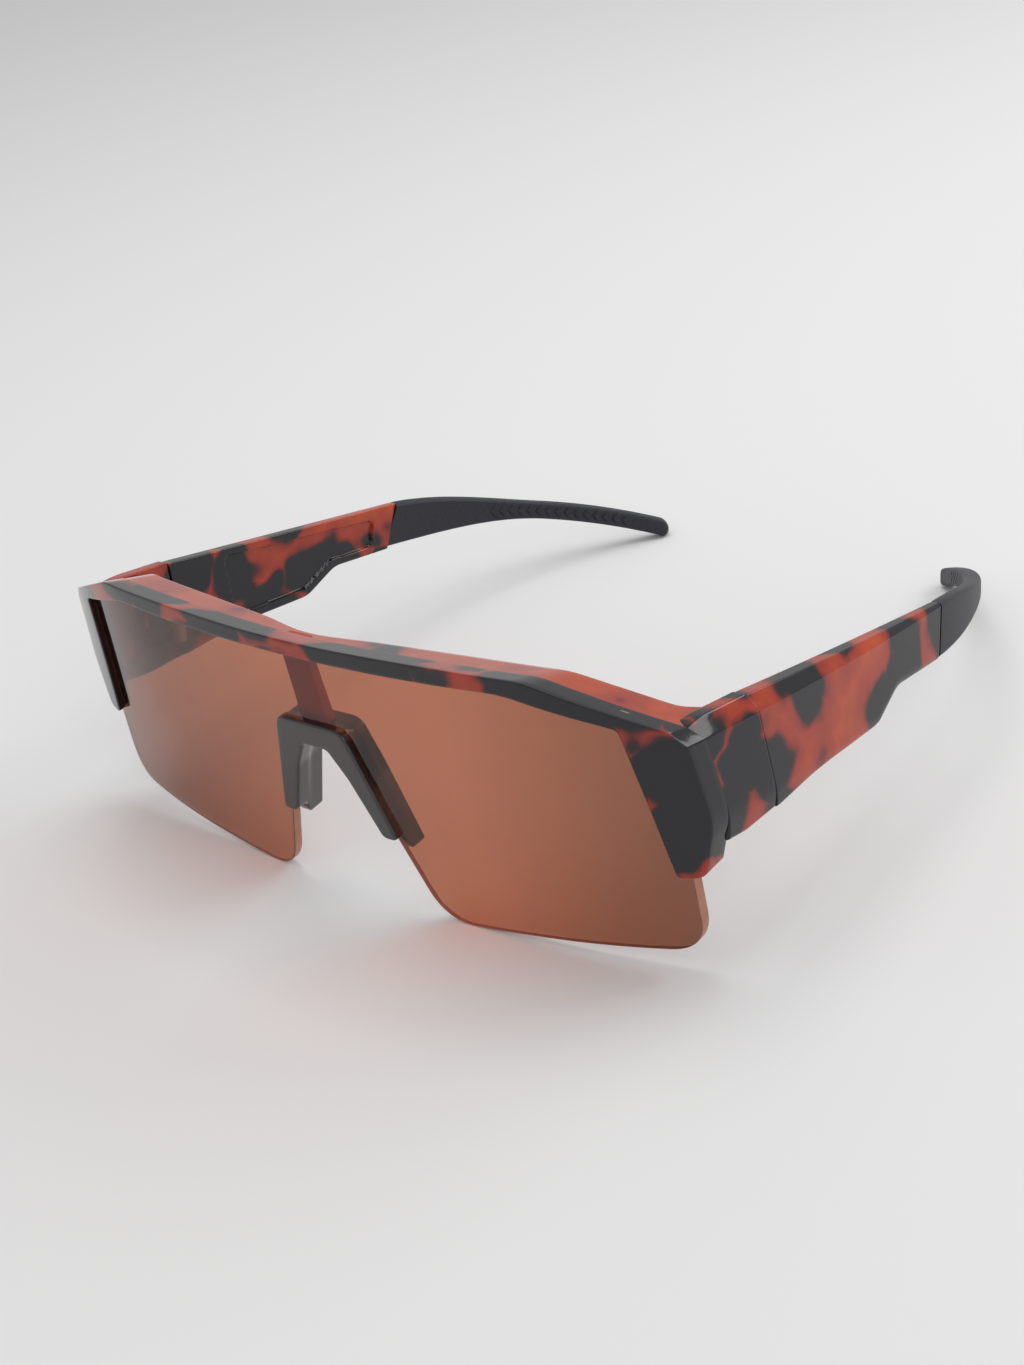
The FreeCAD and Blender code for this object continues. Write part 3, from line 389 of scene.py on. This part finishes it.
# Metres and shares across the lens, from the wearer's right to the left; the far and near colours are the tint
# darkened by painted shade at the lens' ends, the middle one the tint itself
lensTintAndShade = {"far": (0.24, 0.075, 0.04), "middle": (0.56, 0.20, 0.11), "near": (0.30, 0.115, 0.065),
            "farEdge": -0.07, "nearEdge": 0.07, "middleStart": 0.5, "middleEnd": 0.72,
            "smearScale": 60.0, "gloss": (0.0, 0.05), "ior": 1.42}


def tintedLens():
    # Clear tinted sheet, with painted shade darkening the tint towards both ends; light passes it in shadows too
    material, tree = newMaterial("amberLens")
    place = addNode(tree, "ShaderNodeTexCoord")
    axes = addNode(tree, "ShaderNodeSeparateXYZ")
    link(tree, place.outputs["Object"], axes.inputs[0])
    span = spanned(tree, axes.outputs["X"], 0.0, 1.0, lensTintAndShade["farEdge"], lensTintAndShade["nearEdge"])
    # Painted shade: the tint ramp darkens from the middle towards both ends of the lens
    stops = [(0.0, "far"), (lensTintAndShade["middleStart"], "middle"), (lensTintAndShade["middleEnd"], "middle"),
             (1.0, "near")]
    tint = ramp(tree, [(place, lensTintAndShade[name]) for place, name in stops], span)
    smear = addNode(tree, "ShaderNodeTexNoise", Scale=lensTintAndShade["smearScale"], Detail=2.0)
    link(tree, place.outputs["Object"], smear.inputs["Vector"])
    surface = addNode(tree, "ShaderNodeBsdfPrincipled")
    surface.inputs["IOR"].default_value = lensTintAndShade["ior"]
    surface.inputs["Transmission Weight"].default_value = 1.0
    link(tree, tint.outputs["Color"], surface.inputs["Base Color"])
    link(tree, spanned(tree, smear.outputs["Fac"], *lensTintAndShade["gloss"]), surface.inputs["Roughness"])
    clear = addNode(tree, "ShaderNodeBsdfTransparent")
    link(tree, tint.outputs["Color"], clear.inputs["Color"])
    path = addNode(tree, "ShaderNodeLightPath")
    mix = addNode(tree, "ShaderNodeMixShader")
    link(tree, path.outputs["Is Shadow Ray"], mix.inputs[0])
    link(tree, surface.outputs["BSDF"], mix.inputs[1])
    link(tree, clear.outputs["BSDF"], mix.inputs[2])
    return finished(material, tree, mix.outputs["Shader"])


glossChange = 0.15


def grained(name, low, high, roughness, grain, depth, metal=0.0, coat=0.0):
    # Plain stuff with a fine grain in its colour, gloss and surface
    material, tree = newMaterial(name)
    place = addNode(tree, "ShaderNodeTexCoord")
    noise = addNode(tree, "ShaderNodeTexNoise", Scale=grain, Detail=6.0)
    link(tree, place.outputs["Object"], noise.inputs["Vector"])
    shade = ramp(tree, [(0.3, low), (0.7, high)], noise.outputs["Fac"])
    gloss = spanned(tree, noise.outputs["Fac"], roughness * (1 - glossChange), roughness * (1 + glossChange))
    bump = addNode(tree, "ShaderNodeBump", Strength=depth, Distance=0.0001)
    link(tree, noise.outputs["Fac"], bump.inputs["Height"])
    surface = addNode(tree, "ShaderNodeBsdfPrincipled")
    surface.inputs["Metallic"].default_value = metal
    surface.inputs["Coat Weight"].default_value = coat
    link(tree, shade.outputs["Color"], surface.inputs["Base Color"])
    link(tree, gloss, surface.inputs["Roughness"])
    link(tree, bump.outputs["Normal"], surface.inputs["Normal"])
    return finished(material, tree, surface.outputs["BSDF"])


shellGroup = tortoiseGroup()
rimShell = tortoisePlastic("tortoiseRim", shellGroup, (0.0, 0.003, 0.001), 0.66)
ledgeShell = tortoisePlastic("tortoiseLedge", shellGroup, (0.004, 0.0, 0.002), 0.2)
wallShell = tortoisePlastic("tortoiseWall", shellGroup, (0.0, 0.003, 0.001), 0.54)
templeShell = tortoisePlastic("tortoiseTemple", shellGroup, (0.0, 0.003, 0.001), 0.52)
lensMaterial = tintedLens()
lensRim = grained("lensRim", (0.36, 0.15, 0.09), (0.45, 0.20, 0.13), 0.35, 400.0, 0.03)
saddleBlack = grained("saddleBlack", (0.008, 0.007, 0.010), (0.020, 0.012, 0.014), 0.14, 500.0, 0.03,
                      coat=0.5)
rubber = grained("rubber", (0.010, 0.011, 0.016), (0.018, 0.019, 0.027), 0.5, 1500.0, 0.2)
hingeSteel = grained("hingeSteel", colour("8c8c90"), colour("a6a6aa"), 0.3, 2500.0, 0.2, metal=1.0)
screwSteel = grained("screwSteel", colour("9a9a9e"), colour("b4b4b8"), 0.25, 3000.0, 0.2, metal=1.0)
print("materials ready")


def bothWaysRadii(half):
    return half[:0:-1] + half


def samePoints(first, second, radiiFirst, radiiSecond, sidePoints, arcPoints=14):
    # Two paths with as many points each: a corner that only one rounds has a tiny arc on the other
    return [rounded(bothWays(corners), bothWaysRadii([max(radius, 0.02) for radius in radii]), arcPoints,
                    sidePoints, closed=False)
            for corners, radii in ((first, radiiFirst), (second, radiiSecond))]


# Lens: ribs run from its lower edge and nose notch up to the brow
lens = {
    "thickness": 2.0, "edge": 0.35, "stations": 12, "rib": 26, "meanWrap": 140.0, "edgeTurn": 0.55,
    "lower": [(0, -7.6), (6.3, -7.6), (19.4, -44.3), (45, -42.2), (71.9, -40.0), (71.7, -24.0)],
    "upper": [(0, 10.7), (9.0, 10.7), (27.0, 10.7), (46.5, 10.7), (66.8, 5.0), (70.2, -12.0)],
    "lowerRadii": [0, 2.5, 9, 0, 7, 0], "upperRadii": [0, 0, 0, 20, 4.5, 0],
}
lower, upper = samePoints(lens["lower"], lens["upper"], lens["lowerRadii"], lens["upperRadii"], lens["stations"])
lensGrid = ribbon(fixedPath(lower), fixedPath(upper), onSheet, 0.0, lens["thickness"], lens["edge"],
                  across=lens["rib"])
lensSheet = dress(tube("lens_sheet", lensGrid), "front", "lens", lensMaterial, "shield_lens")


def frostEdge(piece, material):
    # The sheet's narrow edge is frosted: its faces stand across the sheet's own normal
    faces = piece.data.polygons
    normals, middles = np.zeros(len(faces) * 3), np.zeros(len(faces) * 3)
    faces.foreach_get("normal", normals)
    faces.foreach_get("center", middles)
    x = middles.reshape(-1, 3)[:, 0] * 1000
    slope = (sag(x + 0.1, lens["meanWrap"]) - sag(x - 0.1, lens["meanWrap"])) / 0.2
    facing = toRow(leaned(-slope, np.ones_like(slope), 0 * slope)) - toRow((0, 0, 0))
    facing /= np.linalg.norm(facing, axis=-1, keepdims=True)
    aligned = np.abs(np.sum(normals.reshape(-1, 3) * facing, -1))
    faces.foreach_set("material_index", (aligned < lens["edgeTurn"]).astype(int))
    piece.data.materials.append(material)


frostEdge(lensSheet, lensRim)


# Rim: brow bar and wings in one band round the lens' edge
lean = sheet["lean"]
# The outer corners are half width, height and slope of the outer wall: falling at the top, level
# at the sides
rim = {
    "lip": 1.4, "behind": 3.4, "edge": 0.45, "backEdge": 0.06, "stations": 10,
    "inner": [(0, 9.7), (46.5, 9.7), (62.5, 4.8), (65.0, 4.0), (68.04, -14.0), (69.8, -24.4), (71.6, -24.4)],
    "outer": [(0, 6.9, topFall), (51.2, 8.45, topFall), (72.5, 2.4, topFall), (75.0, 0.0, 0.0),
              (76.9, -14.0, 0.0), (74.6, -24.4, -lean), (71.7, -24.4, -lean)],
    "innerRadii": [0, 20, 0.5, 4.0, 0, 1.5, 0], "outerRadii": [400, 14, 0.8, 0.8, 18, 3, 0],
}
innerEdge, outerEdge = samePoints(rim["inner"], rim["outer"], rim["innerRadii"], rim["outerRadii"],
                                  rim["stations"])


def rimOutside(depth):
    # Height along the lean of the outer wall at each depth, from its height and slope
    x, level, slope = (outerEdge[:, None, k] for k in range(3))
    w = np.repeat(level, len(depth), 1)
    for turn in range(settleTurns):
        n = sheetDepth(x, w) + depth
        w = (level - n * np.sin(lean + slope)) / np.cos(lean + slope)
    return np.stack([np.broadcast_to(x, w.shape), w], -1)


rimGrid = ribbon(fixedPath(innerEdge), rimOutside, onSheet, -rim["lip"], rim["lip"] + rim["behind"],
                 rim["edge"], rim["backEdge"])
dress(tube("brow_rim", rimGrid), "front", "tortoise_frame", rimShell, "front_frame")


# Ledge: falling shelf behind the brow bar
ledge = {
    "thickness": 2.2, "hidden": 2.6, "sunk": 0.12, "edge": 0.5, "stations": 241, "half": 72.4, "overlap": 0.2,
    "rear": [(0, -8.4), (13, -5.0), (50, 0.2), (67.3, 9.0), (70.5, 16.6), (74, 17.0)],
    "rearRadii": [20, 20, 20, 5, 0.5, 0], "frontAt": (0, 51, 73), "frontHeights": (11.0, 11.0, 5.0),
}


def ledgeHeight(x):
    # The rim's outer edge, as far out as the ledge goes
    path = outerEdge[len(outerEdge) // 2:, :2]
    path = path[:np.argmax(path[:, 0] > ledge["half"] + ledge["overlap"])]
    return np.interp(np.abs(x), path[:, 0], path[:, 1])


def ledgePlace(x, y, depth):
    # A point so far under the ledge's top, at half width x and back y
    level = ledgeHeight(x) - ledge["sunk"] - depth
    return np.stack([x, y, (level - y * math.sin(topFall)) / math.cos(topFall)], -1)


rear = rounded(bothWays(ledge["rear"]), bothWaysRadii(ledge["rearRadii"]), 14, 20, closed=False)
ledgeX = np.linspace(-ledge["half"], ledge["half"], ledge["stations"])
frontW = np.interp(np.abs(ledgeX), ledge["frontAt"], ledge["frontHeights"])
frontY = onSheet(ledgeX, frontW, ledge["hidden"] - rim["lip"])[:, 1]
rearY = np.interp(ledgeX, rear[:, 0], rear[:, 1])
ledgeGrid = ribbon(fixedPath(np.stack([ledgeX, frontY], -1)), fixedPath(np.stack([ledgeX, rearY], -1)),
                   ledgePlace, 0.0, ledge["thickness"], ledge["edge"], across=10)
dress(tube("top_ledge", ledgeGrid), "front", "tortoise_frame", ledgeShell, "front_frame")


# End walls: the section of the temple's front end, carried forward to the rim
endWall = {"inner": 70.0, "top": 2.7, "bevel": 2.5, "outer": 75.0, "flare": 1.9, "flareDepth": 14.0,
           "foot": 18.6, "footInset": 0.6, "rise": 1.3, "seam": 19.5, "slant": math.radians(8.0),
           "stations": 40, "start": 3.1, "dip": 0.8, "dipEnd": 0.4, "radii": [0.4, 0.7, 0.7, 18, 0.9, 0.5],
           "endRound": 0.25}


def endWallGrid():
    # The top dips at the front to meet the rim's own corner, and the foot rises towards the seam
    inner, outer = endWall["inner"], endWall["outer"]
    flare = outer + endWall["flare"]
    v = np.linspace(0, 1, endWall["stations"])
    tops = endWall["top"] - endWall["dip"] * np.clip(1 - v / endWall["dipEnd"], 0, 1) ** 2
    feet = -endWall["foot"] + endWall["rise"] * np.clip(v * 1.6 - 0.6, 0, 1)
    corners = np.array([
        [(inner, top), (outer - endWall["bevel"], top), (outer, 0.0), (flare, -endWall["flareDepth"]),
         (flare - endWall["footInset"], foot), (inner, foot)] for top, foot in zip(tops, feet)])
    section = rounded(corners, endWall["radii"], 7, 5)
    x, z = section[..., 0], section[..., 1]
    start = sheetBack(x, z, endWall["start"])
    end = endWall["seam"] - z * math.tan(endWall["slant"])
    return np.stack([x, start + (end - start) * v[:, None], z], -1)


def flipped(grid):
    return grid * [-1, 1, 1]


wallGrid = endWallGrid()
for side, grid in (("left", wallGrid), ("right", flipped(wallGrid))):
    dress(tube(side + "_end_wall", grid, endWall["endRound"]), "front", "tortoise_frame", wallShell,
          "front_frame")


# Nose saddle: an inverted U, its rear flange dropped and spread, and the strut above it
saddle = {"lip": 0.9, "depth": 7.0, "edge": 0.45, "drop": 3.2, "spread": 0.3, "inset": 0.3,
          "stepStart": 1.6, "stepEnd": 3.0, "foot": -26.8, "innerRadii": [0, 1.4, 15, 1.4, 0],
          "outerRadii": [0, 3, 0, 1.4, 0], "stations": 10}


def saddlePaths(drop, inset):
    # Inner and outer outline, the feet lowered by the drop and the walls thinned by the inset
    foot, out = saddle["foot"] - drop, drop * saddle["spread"]
    inner = [(0, -10.1 + inset), (2.9 + inset, -10.1 + inset), (6.2 + inset, -15.6), (10.7 + inset + out, foot),
             (12.4 + out, foot)]
    outer = [(0, -5.1 - inset), (8.2 - inset, -5.1 - inset), (10.6 - inset + out * 0.4, -13.6),
             (14.4 - inset + out, foot), (12.6 + out, foot)]
    return samePoints(inner, outer, saddle["innerRadii"], saddle["outerRadii"], saddle["stations"])


frontPaths, rearPaths = saddlePaths(0, 0), saddlePaths(saddle["drop"], saddle["inset"])


def saddleEdge(which):
    # The front outline up to the lens' back, then the dropped one
    def edgeAt(depth):
        s = np.clip((depth - saddle["stepStart"]) / (saddle["stepEnd"] - saddle["stepStart"]), 0, 1)
        s = (s * s * (3 - 2 * s))[None, :, None]
        return frontPaths[which][:, None] * (1 - s) + rearPaths[which][:, None] * s
    return edgeAt


def onLensPlane(x, w, depth):
    # The flat plane that touches the lens in the middle
    return leaned(x, depth - sheet["bulge"] + 0.0 * x, w)


saddleGrid = ribbon(saddleEdge(0), saddleEdge(1), onLensPlane, -saddle["lip"], saddle["depth"],
                    saddle["edge"], walls=16)
dress(tube("nose_saddle", saddleGrid), "front", "tortoise_frame", saddleBlack, "front_frame")

strut = {"topHalf": 2.95, "footHalf": 3.45, "top": 10.7, "foot": -6.1, "thickness": 2.2, "front": 2.05,
         "edge": 0.5, "stations": 30}
strutW = np.linspace(strut["top"], strut["foot"], strut["stations"])
strutX = np.interp(strutW, [strut["foot"], strut["top"]], [strut["footHalf"], strut["topHalf"]])
strutGrid = ribbon(fixedPath(np.stack([-strutX, strutW], -1)), fixedPath(np.stack([strutX, strutW], -1)),
                   onLensPlane, strut["front"], strut["thickness"], strut["edge"])
dress(tube("lens_strut", strutGrid), "front", "tortoise_frame", ledgeShell, "front_frame")


# Temple arms: a section of six corners carried back. The rows of three are sizes at the three
# stations, with a smooth curve through them
arm = {
    "stations": (15.5, 52.0, 87.0), "inset": (0.0, 1.9, 5.0), "bevel": (2.5, 1.5, 0.4),
    "drop": (0.0, 1.65, 2.78), "edge": (0.0, -0.45, -0.4), "thinning": (0.0, 0.855, 1.9),
    "flareAt": (14.0, 13.0, 9.7), "outer": 75.0, "flare": 1.9, "inner": 70.0, "top": 2.7,
    "seamGap": 0.2, "joint": 84.0, "jointSlant": math.radians(20.0), "along": 260, "innerPoints": 60,
    "recess": 0.8, "recessEdge": 0.45, "sectionFront": 20.5, "sectionRear": 82.0, "leastBevel": 0.3,
    "leastFoot": 1.2, "footInset": 0.15, "radii": [0.5, 0.4, 0.6, 0.6, 8, 0.9], "endRound": 0.25,
    "under": [(10, -17.9), (21.9, -17.3), (36, -15.1), (57.5, -14.2), (65.5, -9.7), (90, -9.7)],
    "underRadii": [0, 0.5, 150, 7, 7, 0],
    "panel": [(36, -13.2), (55.5, -12.4), (63.5, -7.9), (75.5, -7.9), (77, -2.2), (34, 0.1)],
    "panelRadii": [1.5, 3.5, 1.5, 1.5, 1.5, 1.5], "panelReach": 0.3,
}
underside = rounded(arm["under"], arm["underRadii"], 20, 10, closed=False)


def alongArm(name, y):
    return np.polyval(np.polyfit(arm["stations"], arm[name], 2), y)


def segmentDistance(points, corners):
    # Distance inside a closed outline, positive within
    best = np.full(points.shape[:-1], 1e9)
    inside = np.zeros(points.shape[:-1], bool)
    for a, b in zip(corners, np.roll(corners, -1, 0)):
        edge = b - a
        t = np.clip(((points - a) @ edge) / (edge @ edge), 0, 1)
        best = np.minimum(best, np.linalg.norm(points - a - t[..., None] * edge, axis=-1))
        crosses = (a[1] > points[..., 1]) != (b[1] > points[..., 1])
        level = a[0] + (points[..., 1] - a[1]) * edge[0] / (edge[1] if edge[1] else 1e-9)
        inside ^= crosses & (points[..., 0] < level)
    return np.where(inside, best, -best)


def armGrid():
    v = np.linspace(0, 1, arm["along"])
    y = arm["sectionFront"] + (arm["sectionRear"] - arm["sectionFront"]) * v
    low = np.interp(y, underside[:, 0], underside[:, 1])
    inner = arm["inner"] - alongArm("thinning", y)
    edgeX = arm["outer"] - alongArm("inset", y)
    edgeZ = alongArm("edge", y)
    top = arm["top"] - alongArm("drop", y)
    bevel = np.maximum(alongArm("bevel", y), arm["leastBevel"])
    flareZ = np.maximum(-alongArm("flareAt", y), low + arm["leastFoot"])
    flareX = edgeX + arm["flare"] * np.clip((edgeZ - flareZ) / (edgeZ + alongArm("flareAt", y)), 0, 1)
    corners = np.stack([
        np.stack([inner, low], -1), np.stack([inner, top], -1),
        np.stack([edgeX - bevel, top], -1), np.stack([edgeX, edgeZ], -1),
        np.stack([flareX, flareZ], -1), np.stack([flareX - arm["footInset"], low], -1)], -2)
    section = rounded(corners, arm["radii"], 7, [arm["innerPoints"], 4, 4, 10, 4, 4])
    x, z = section[..., 0], section[..., 1]
    start = endWall["seam"] + arm["seamGap"] - z * math.tan(endWall["slant"])
    end = arm["joint"] + z * math.tan(arm["jointSlant"])
    back = start + (end - start) * v[:, None]
    # Recessed panel on the inner face, with a soft step round it
    panel = rounded(arm["panel"], arm["panelRadii"], 6, 0)
    within = segmentDistance(np.stack([back, z], -1), panel)
    step = np.clip(within / arm["recessEdge"] + 0.5, 0, 1)
    onInner = np.clip(1 - (x - inner[:, None]) / arm["panelReach"], 0, 1)
    x = x + arm["recess"] * step * step * (3 - 2 * step) * onInner
    return np.stack([x, back, z], -1)


leftArm = armGrid()
for side, grid in (("left", leftArm), ("right", flipped(leftArm))):
    dress(tube(side + "_temple", grid, arm["endRound"]), side + "_temple", "tortoise_temple", templeShell,
          side + "_temple_arm")


# Rubber tips: rolled, drooping and hooked inwards, with chevron grooves on the inner face
tip = {
    "root": (69.9, 82.5, -4.8), "length": 68.7, "nose": 1.3, "heading": math.radians(8.5), "hook": 100.0,
    "droop": 225.0, "heightRoot": 9.5, "heightEnd": 3.9, "taper": 40.0, "thickRoot": 3.0, "thickEnd": 3.5,
    "roll": math.radians(7.5), "edge": 1.0, "seat": 0.05, "stations": 420,
    "grooveStart": 24.0, "grooveEnd": 62.0, "groovePitch": 2.3, "grooveDepth": 0.3, "grooveSlant": 0.9,
    "grooveFade": 3.0, "noseLead": 0.6, "noseShrink": 0.92, "rootFade": 8.0,
}


def tipGrid():
    # The section shrinks from the root, stays even behind the taper and closes in at the nose
    length = np.linspace(0, tip["length"] + tip["nose"], tip["stations"])
    share = np.clip(length / tip["taper"], 0, 1)
    full = 1 - 3 * share ** 2 + 2 * share ** 3
    nose = np.clip((length - tip["length"] + tip["noseLead"]) / (tip["nose"] + tip["noseLead"]), 0, 1)
    shrink = np.sqrt(1 - tip["noseShrink"] * nose ** 2)
    thick = (tip["thickEnd"] + (tip["thickRoot"] - tip["thickEnd"]) * full) * shrink
    high = (tip["heightEnd"] + (tip["heightRoot"] - tip["heightEnd"]) * full) * shrink
    half = np.stack([thick, high], -1) / 2
    corners = np.stack([half * sign for sign in ([-1, -1], [-1, 1], [1, 1], [1, -1])], -2)
    section = rounded(corners, [tip["edge"]] * 4, 8, [36, 6, 16, 6])
    u, v = section[..., 0], section[..., 1]
    # Grooves run as chevrons: their place along the tip depends on the height off the middle
    phase = (length[:, None] - tip["grooveSlant"] * np.abs(v)) / tip["groovePitch"]
    groove = np.clip(1 - np.abs((phase % 1) - 0.5) * 5, 0, 1)
    span = np.clip((length - tip["grooveStart"]) / tip["grooveFade"], 0, 1)
    span = span * np.clip((tip["grooveEnd"] - length) / tip["grooveFade"], 0, 1)
    onInner = np.clip((-u / (thick[:, None] / 2) - 0.9) * 10, 0, 1)
    edgeFade = np.clip((high[:, None] / 2 - np.abs(v)) / 0.6 - 0.4, 0, 1)
    u = u + tip["grooveDepth"] * groove * span[:, None] * onInner * edgeFade
    heading = (tip["heading"] + length / tip["hook"])[:, None]
    roll = (tip["roll"] * full)[:, None]
    across, up = u * np.cos(roll) - v * np.sin(roll), u * np.sin(roll) + v * np.cos(roll)
    x = tip["root"][0] - tip["hook"] * (math.cos(tip["heading"]) - np.cos(heading)) + across * np.cos(heading)
    y = tip["root"][1] + tip["hook"] * (np.sin(heading) - math.sin(tip["heading"])) + across * np.sin(heading)
    z = tip["root"][2] - (length ** 2 / (2 * tip["droop"]))[:, None] + up
    # The root is cut to the temple's slanted end
    joint = arm["joint"] + tip["seat"] + z[:1] * math.tan(arm["jointSlant"])
    shift = (joint - y[:1]) * np.clip(1 - length / tip["rootFade"], 0, 1)[:, None]
    return np.stack([x - shift * np.tan(heading), y + shift, z], -1)


leftTip = tipGrid()
for side, grid in (("left", leftTip), ("right", flipped(leftTip))):
    dress(tube(side + "_rubber_tip", grid), side + "_temple", "rubber_tip", rubber, side + "_temple_tip")

# Hinges and screws keep the shape that the frame brings
for name, node in frame["nodes"].items():
    metal = screwSteel if name.endswith("screw") else hingeSteel if name.endswith("hinge") else None
    if metal:
        node.data.materials.clear()
        node.data.materials.append(metal)
print("pieces ready")


# Floor, light and camera
stageLook = {"floor": colour("eeeeee"), "ambient": 0.55, "background": colour("ededed"), "size": 3.0}
lamps = [
    {"name": "overhead", "place": (-0.1, 0.1, 0.9), "size": (0.7, 0.5), "watts": 2.2},
    {"name": "nearSide", "place": (0.75, -0.45, 0.45), "size": (0.5, 0.5), "watts": 0.9},
    {"name": "behind", "place": (0.33, 0.6, 0.5), "size": (0.7, 0.25), "watts": 1.6},
]
lampTarget = np.array([0.0, -0.02, 0.03])
# The camera's place and its right and up directions in the working frame
view = {"place": (267.84, -253.76, 125.57), "right": (0.7543, 0.6544, -0.0521),
        "up": (-0.1830, 0.2858, 0.9406), "focalPixels": 2200.0, "tall": 1365.0, "nearest": 0.01}


def floorMaterial():
    material, tree = newMaterial("paperFloor")
    surface = addNode(tree, "ShaderNodeBsdfDiffuse")
    surface.inputs["Color"].default_value = (*stageLook["floor"], 1)
    return finished(material, tree, surface.outputs["BSDF"])


def makeFloor():
    half = stageLook["size"] / 2
    mesh = bpy.data.meshes.new("floor")
    corners = [(-half, -half, 0), (half, -half, 0), (half, half, 0), (-half, half, 0)]
    mesh.from_pydata(corners, [], [(0, 1, 2, 3)])
    floor = bpy.data.objects.new("floor", mesh)
    bpy.context.scene.collection.objects.link(floor)
    mesh.materials.append(floorMaterial())


def lightWorld():
    # Pale backdrop to the camera and through the lens, and plain soft light to all else
    world = bpy.data.worlds.new("studio")
    bpy.context.scene.world = world
    world.use_nodes = True
    tree = world.node_tree
    path = addNode(tree, "ShaderNodeLightPath")
    seen = addNode(tree, "ShaderNodeMath", operation="MAXIMUM")
    link(tree, path.outputs["Is Camera Ray"], seen.inputs[0])
    link(tree, path.outputs["Is Transmission Ray"], seen.inputs[1])
    backdrop = ramp(tree, [(0.0, (stageLook["ambient"],) * 3), (1.0, stageLook["background"])], seen.outputs[0])
    link(tree, backdrop.outputs["Color"], tree.nodes["Background"].inputs["Color"])


def stand(thing, right, up, back, place):
    pose = np.eye(4)
    pose[:3, :3], pose[:3, 3] = np.stack([right, up, back], -1), place
    thing.matrix_world = Matrix(pose.tolist())
    bpy.context.scene.collection.objects.link(thing)


def hangLamp(lamp):
    # A lamp shines against its own back direction
    light = bpy.data.lights.new(lamp["name"], "AREA")
    light.shape = "RECTANGLE"
    light.size, light.size_y = lamp["size"]
    light.energy = lamp["watts"]
    back = np.array(lamp["place"]) - lampTarget
    back = back / np.linalg.norm(back)
    right = np.cross([0, 1, 0] if abs(back[2]) > 0.9 else [0, 0, 1], back)
    right /= np.linalg.norm(right)
    stand(bpy.data.objects.new(lamp["name"], light), right, np.cross(back, right), back, lamp["place"])


def placeCamera():
    camera = bpy.data.objects.new("camera", bpy.data.cameras.new("camera"))
    camera.data.lens = view["focalPixels"] / view["tall"] * camera.data.sensor_width
    camera.data.clip_start = view["nearest"]
    origin = toRow((0, 0, 0))
    right, up = (toRow(view[name]) - origin for name in ("right", "up"))
    right, up = right / np.linalg.norm(right), up / np.linalg.norm(up)
    stand(camera, right, up, np.cross(right, up), toRow(view["place"]))
    bpy.context.scene.camera = camera


makeFloor()
lightWorld()
for lamp in lamps:
    hangLamp(lamp)
placeCamera()
bpy.context.scene.view_settings.view_transform = "Standard"
print("stage ready")
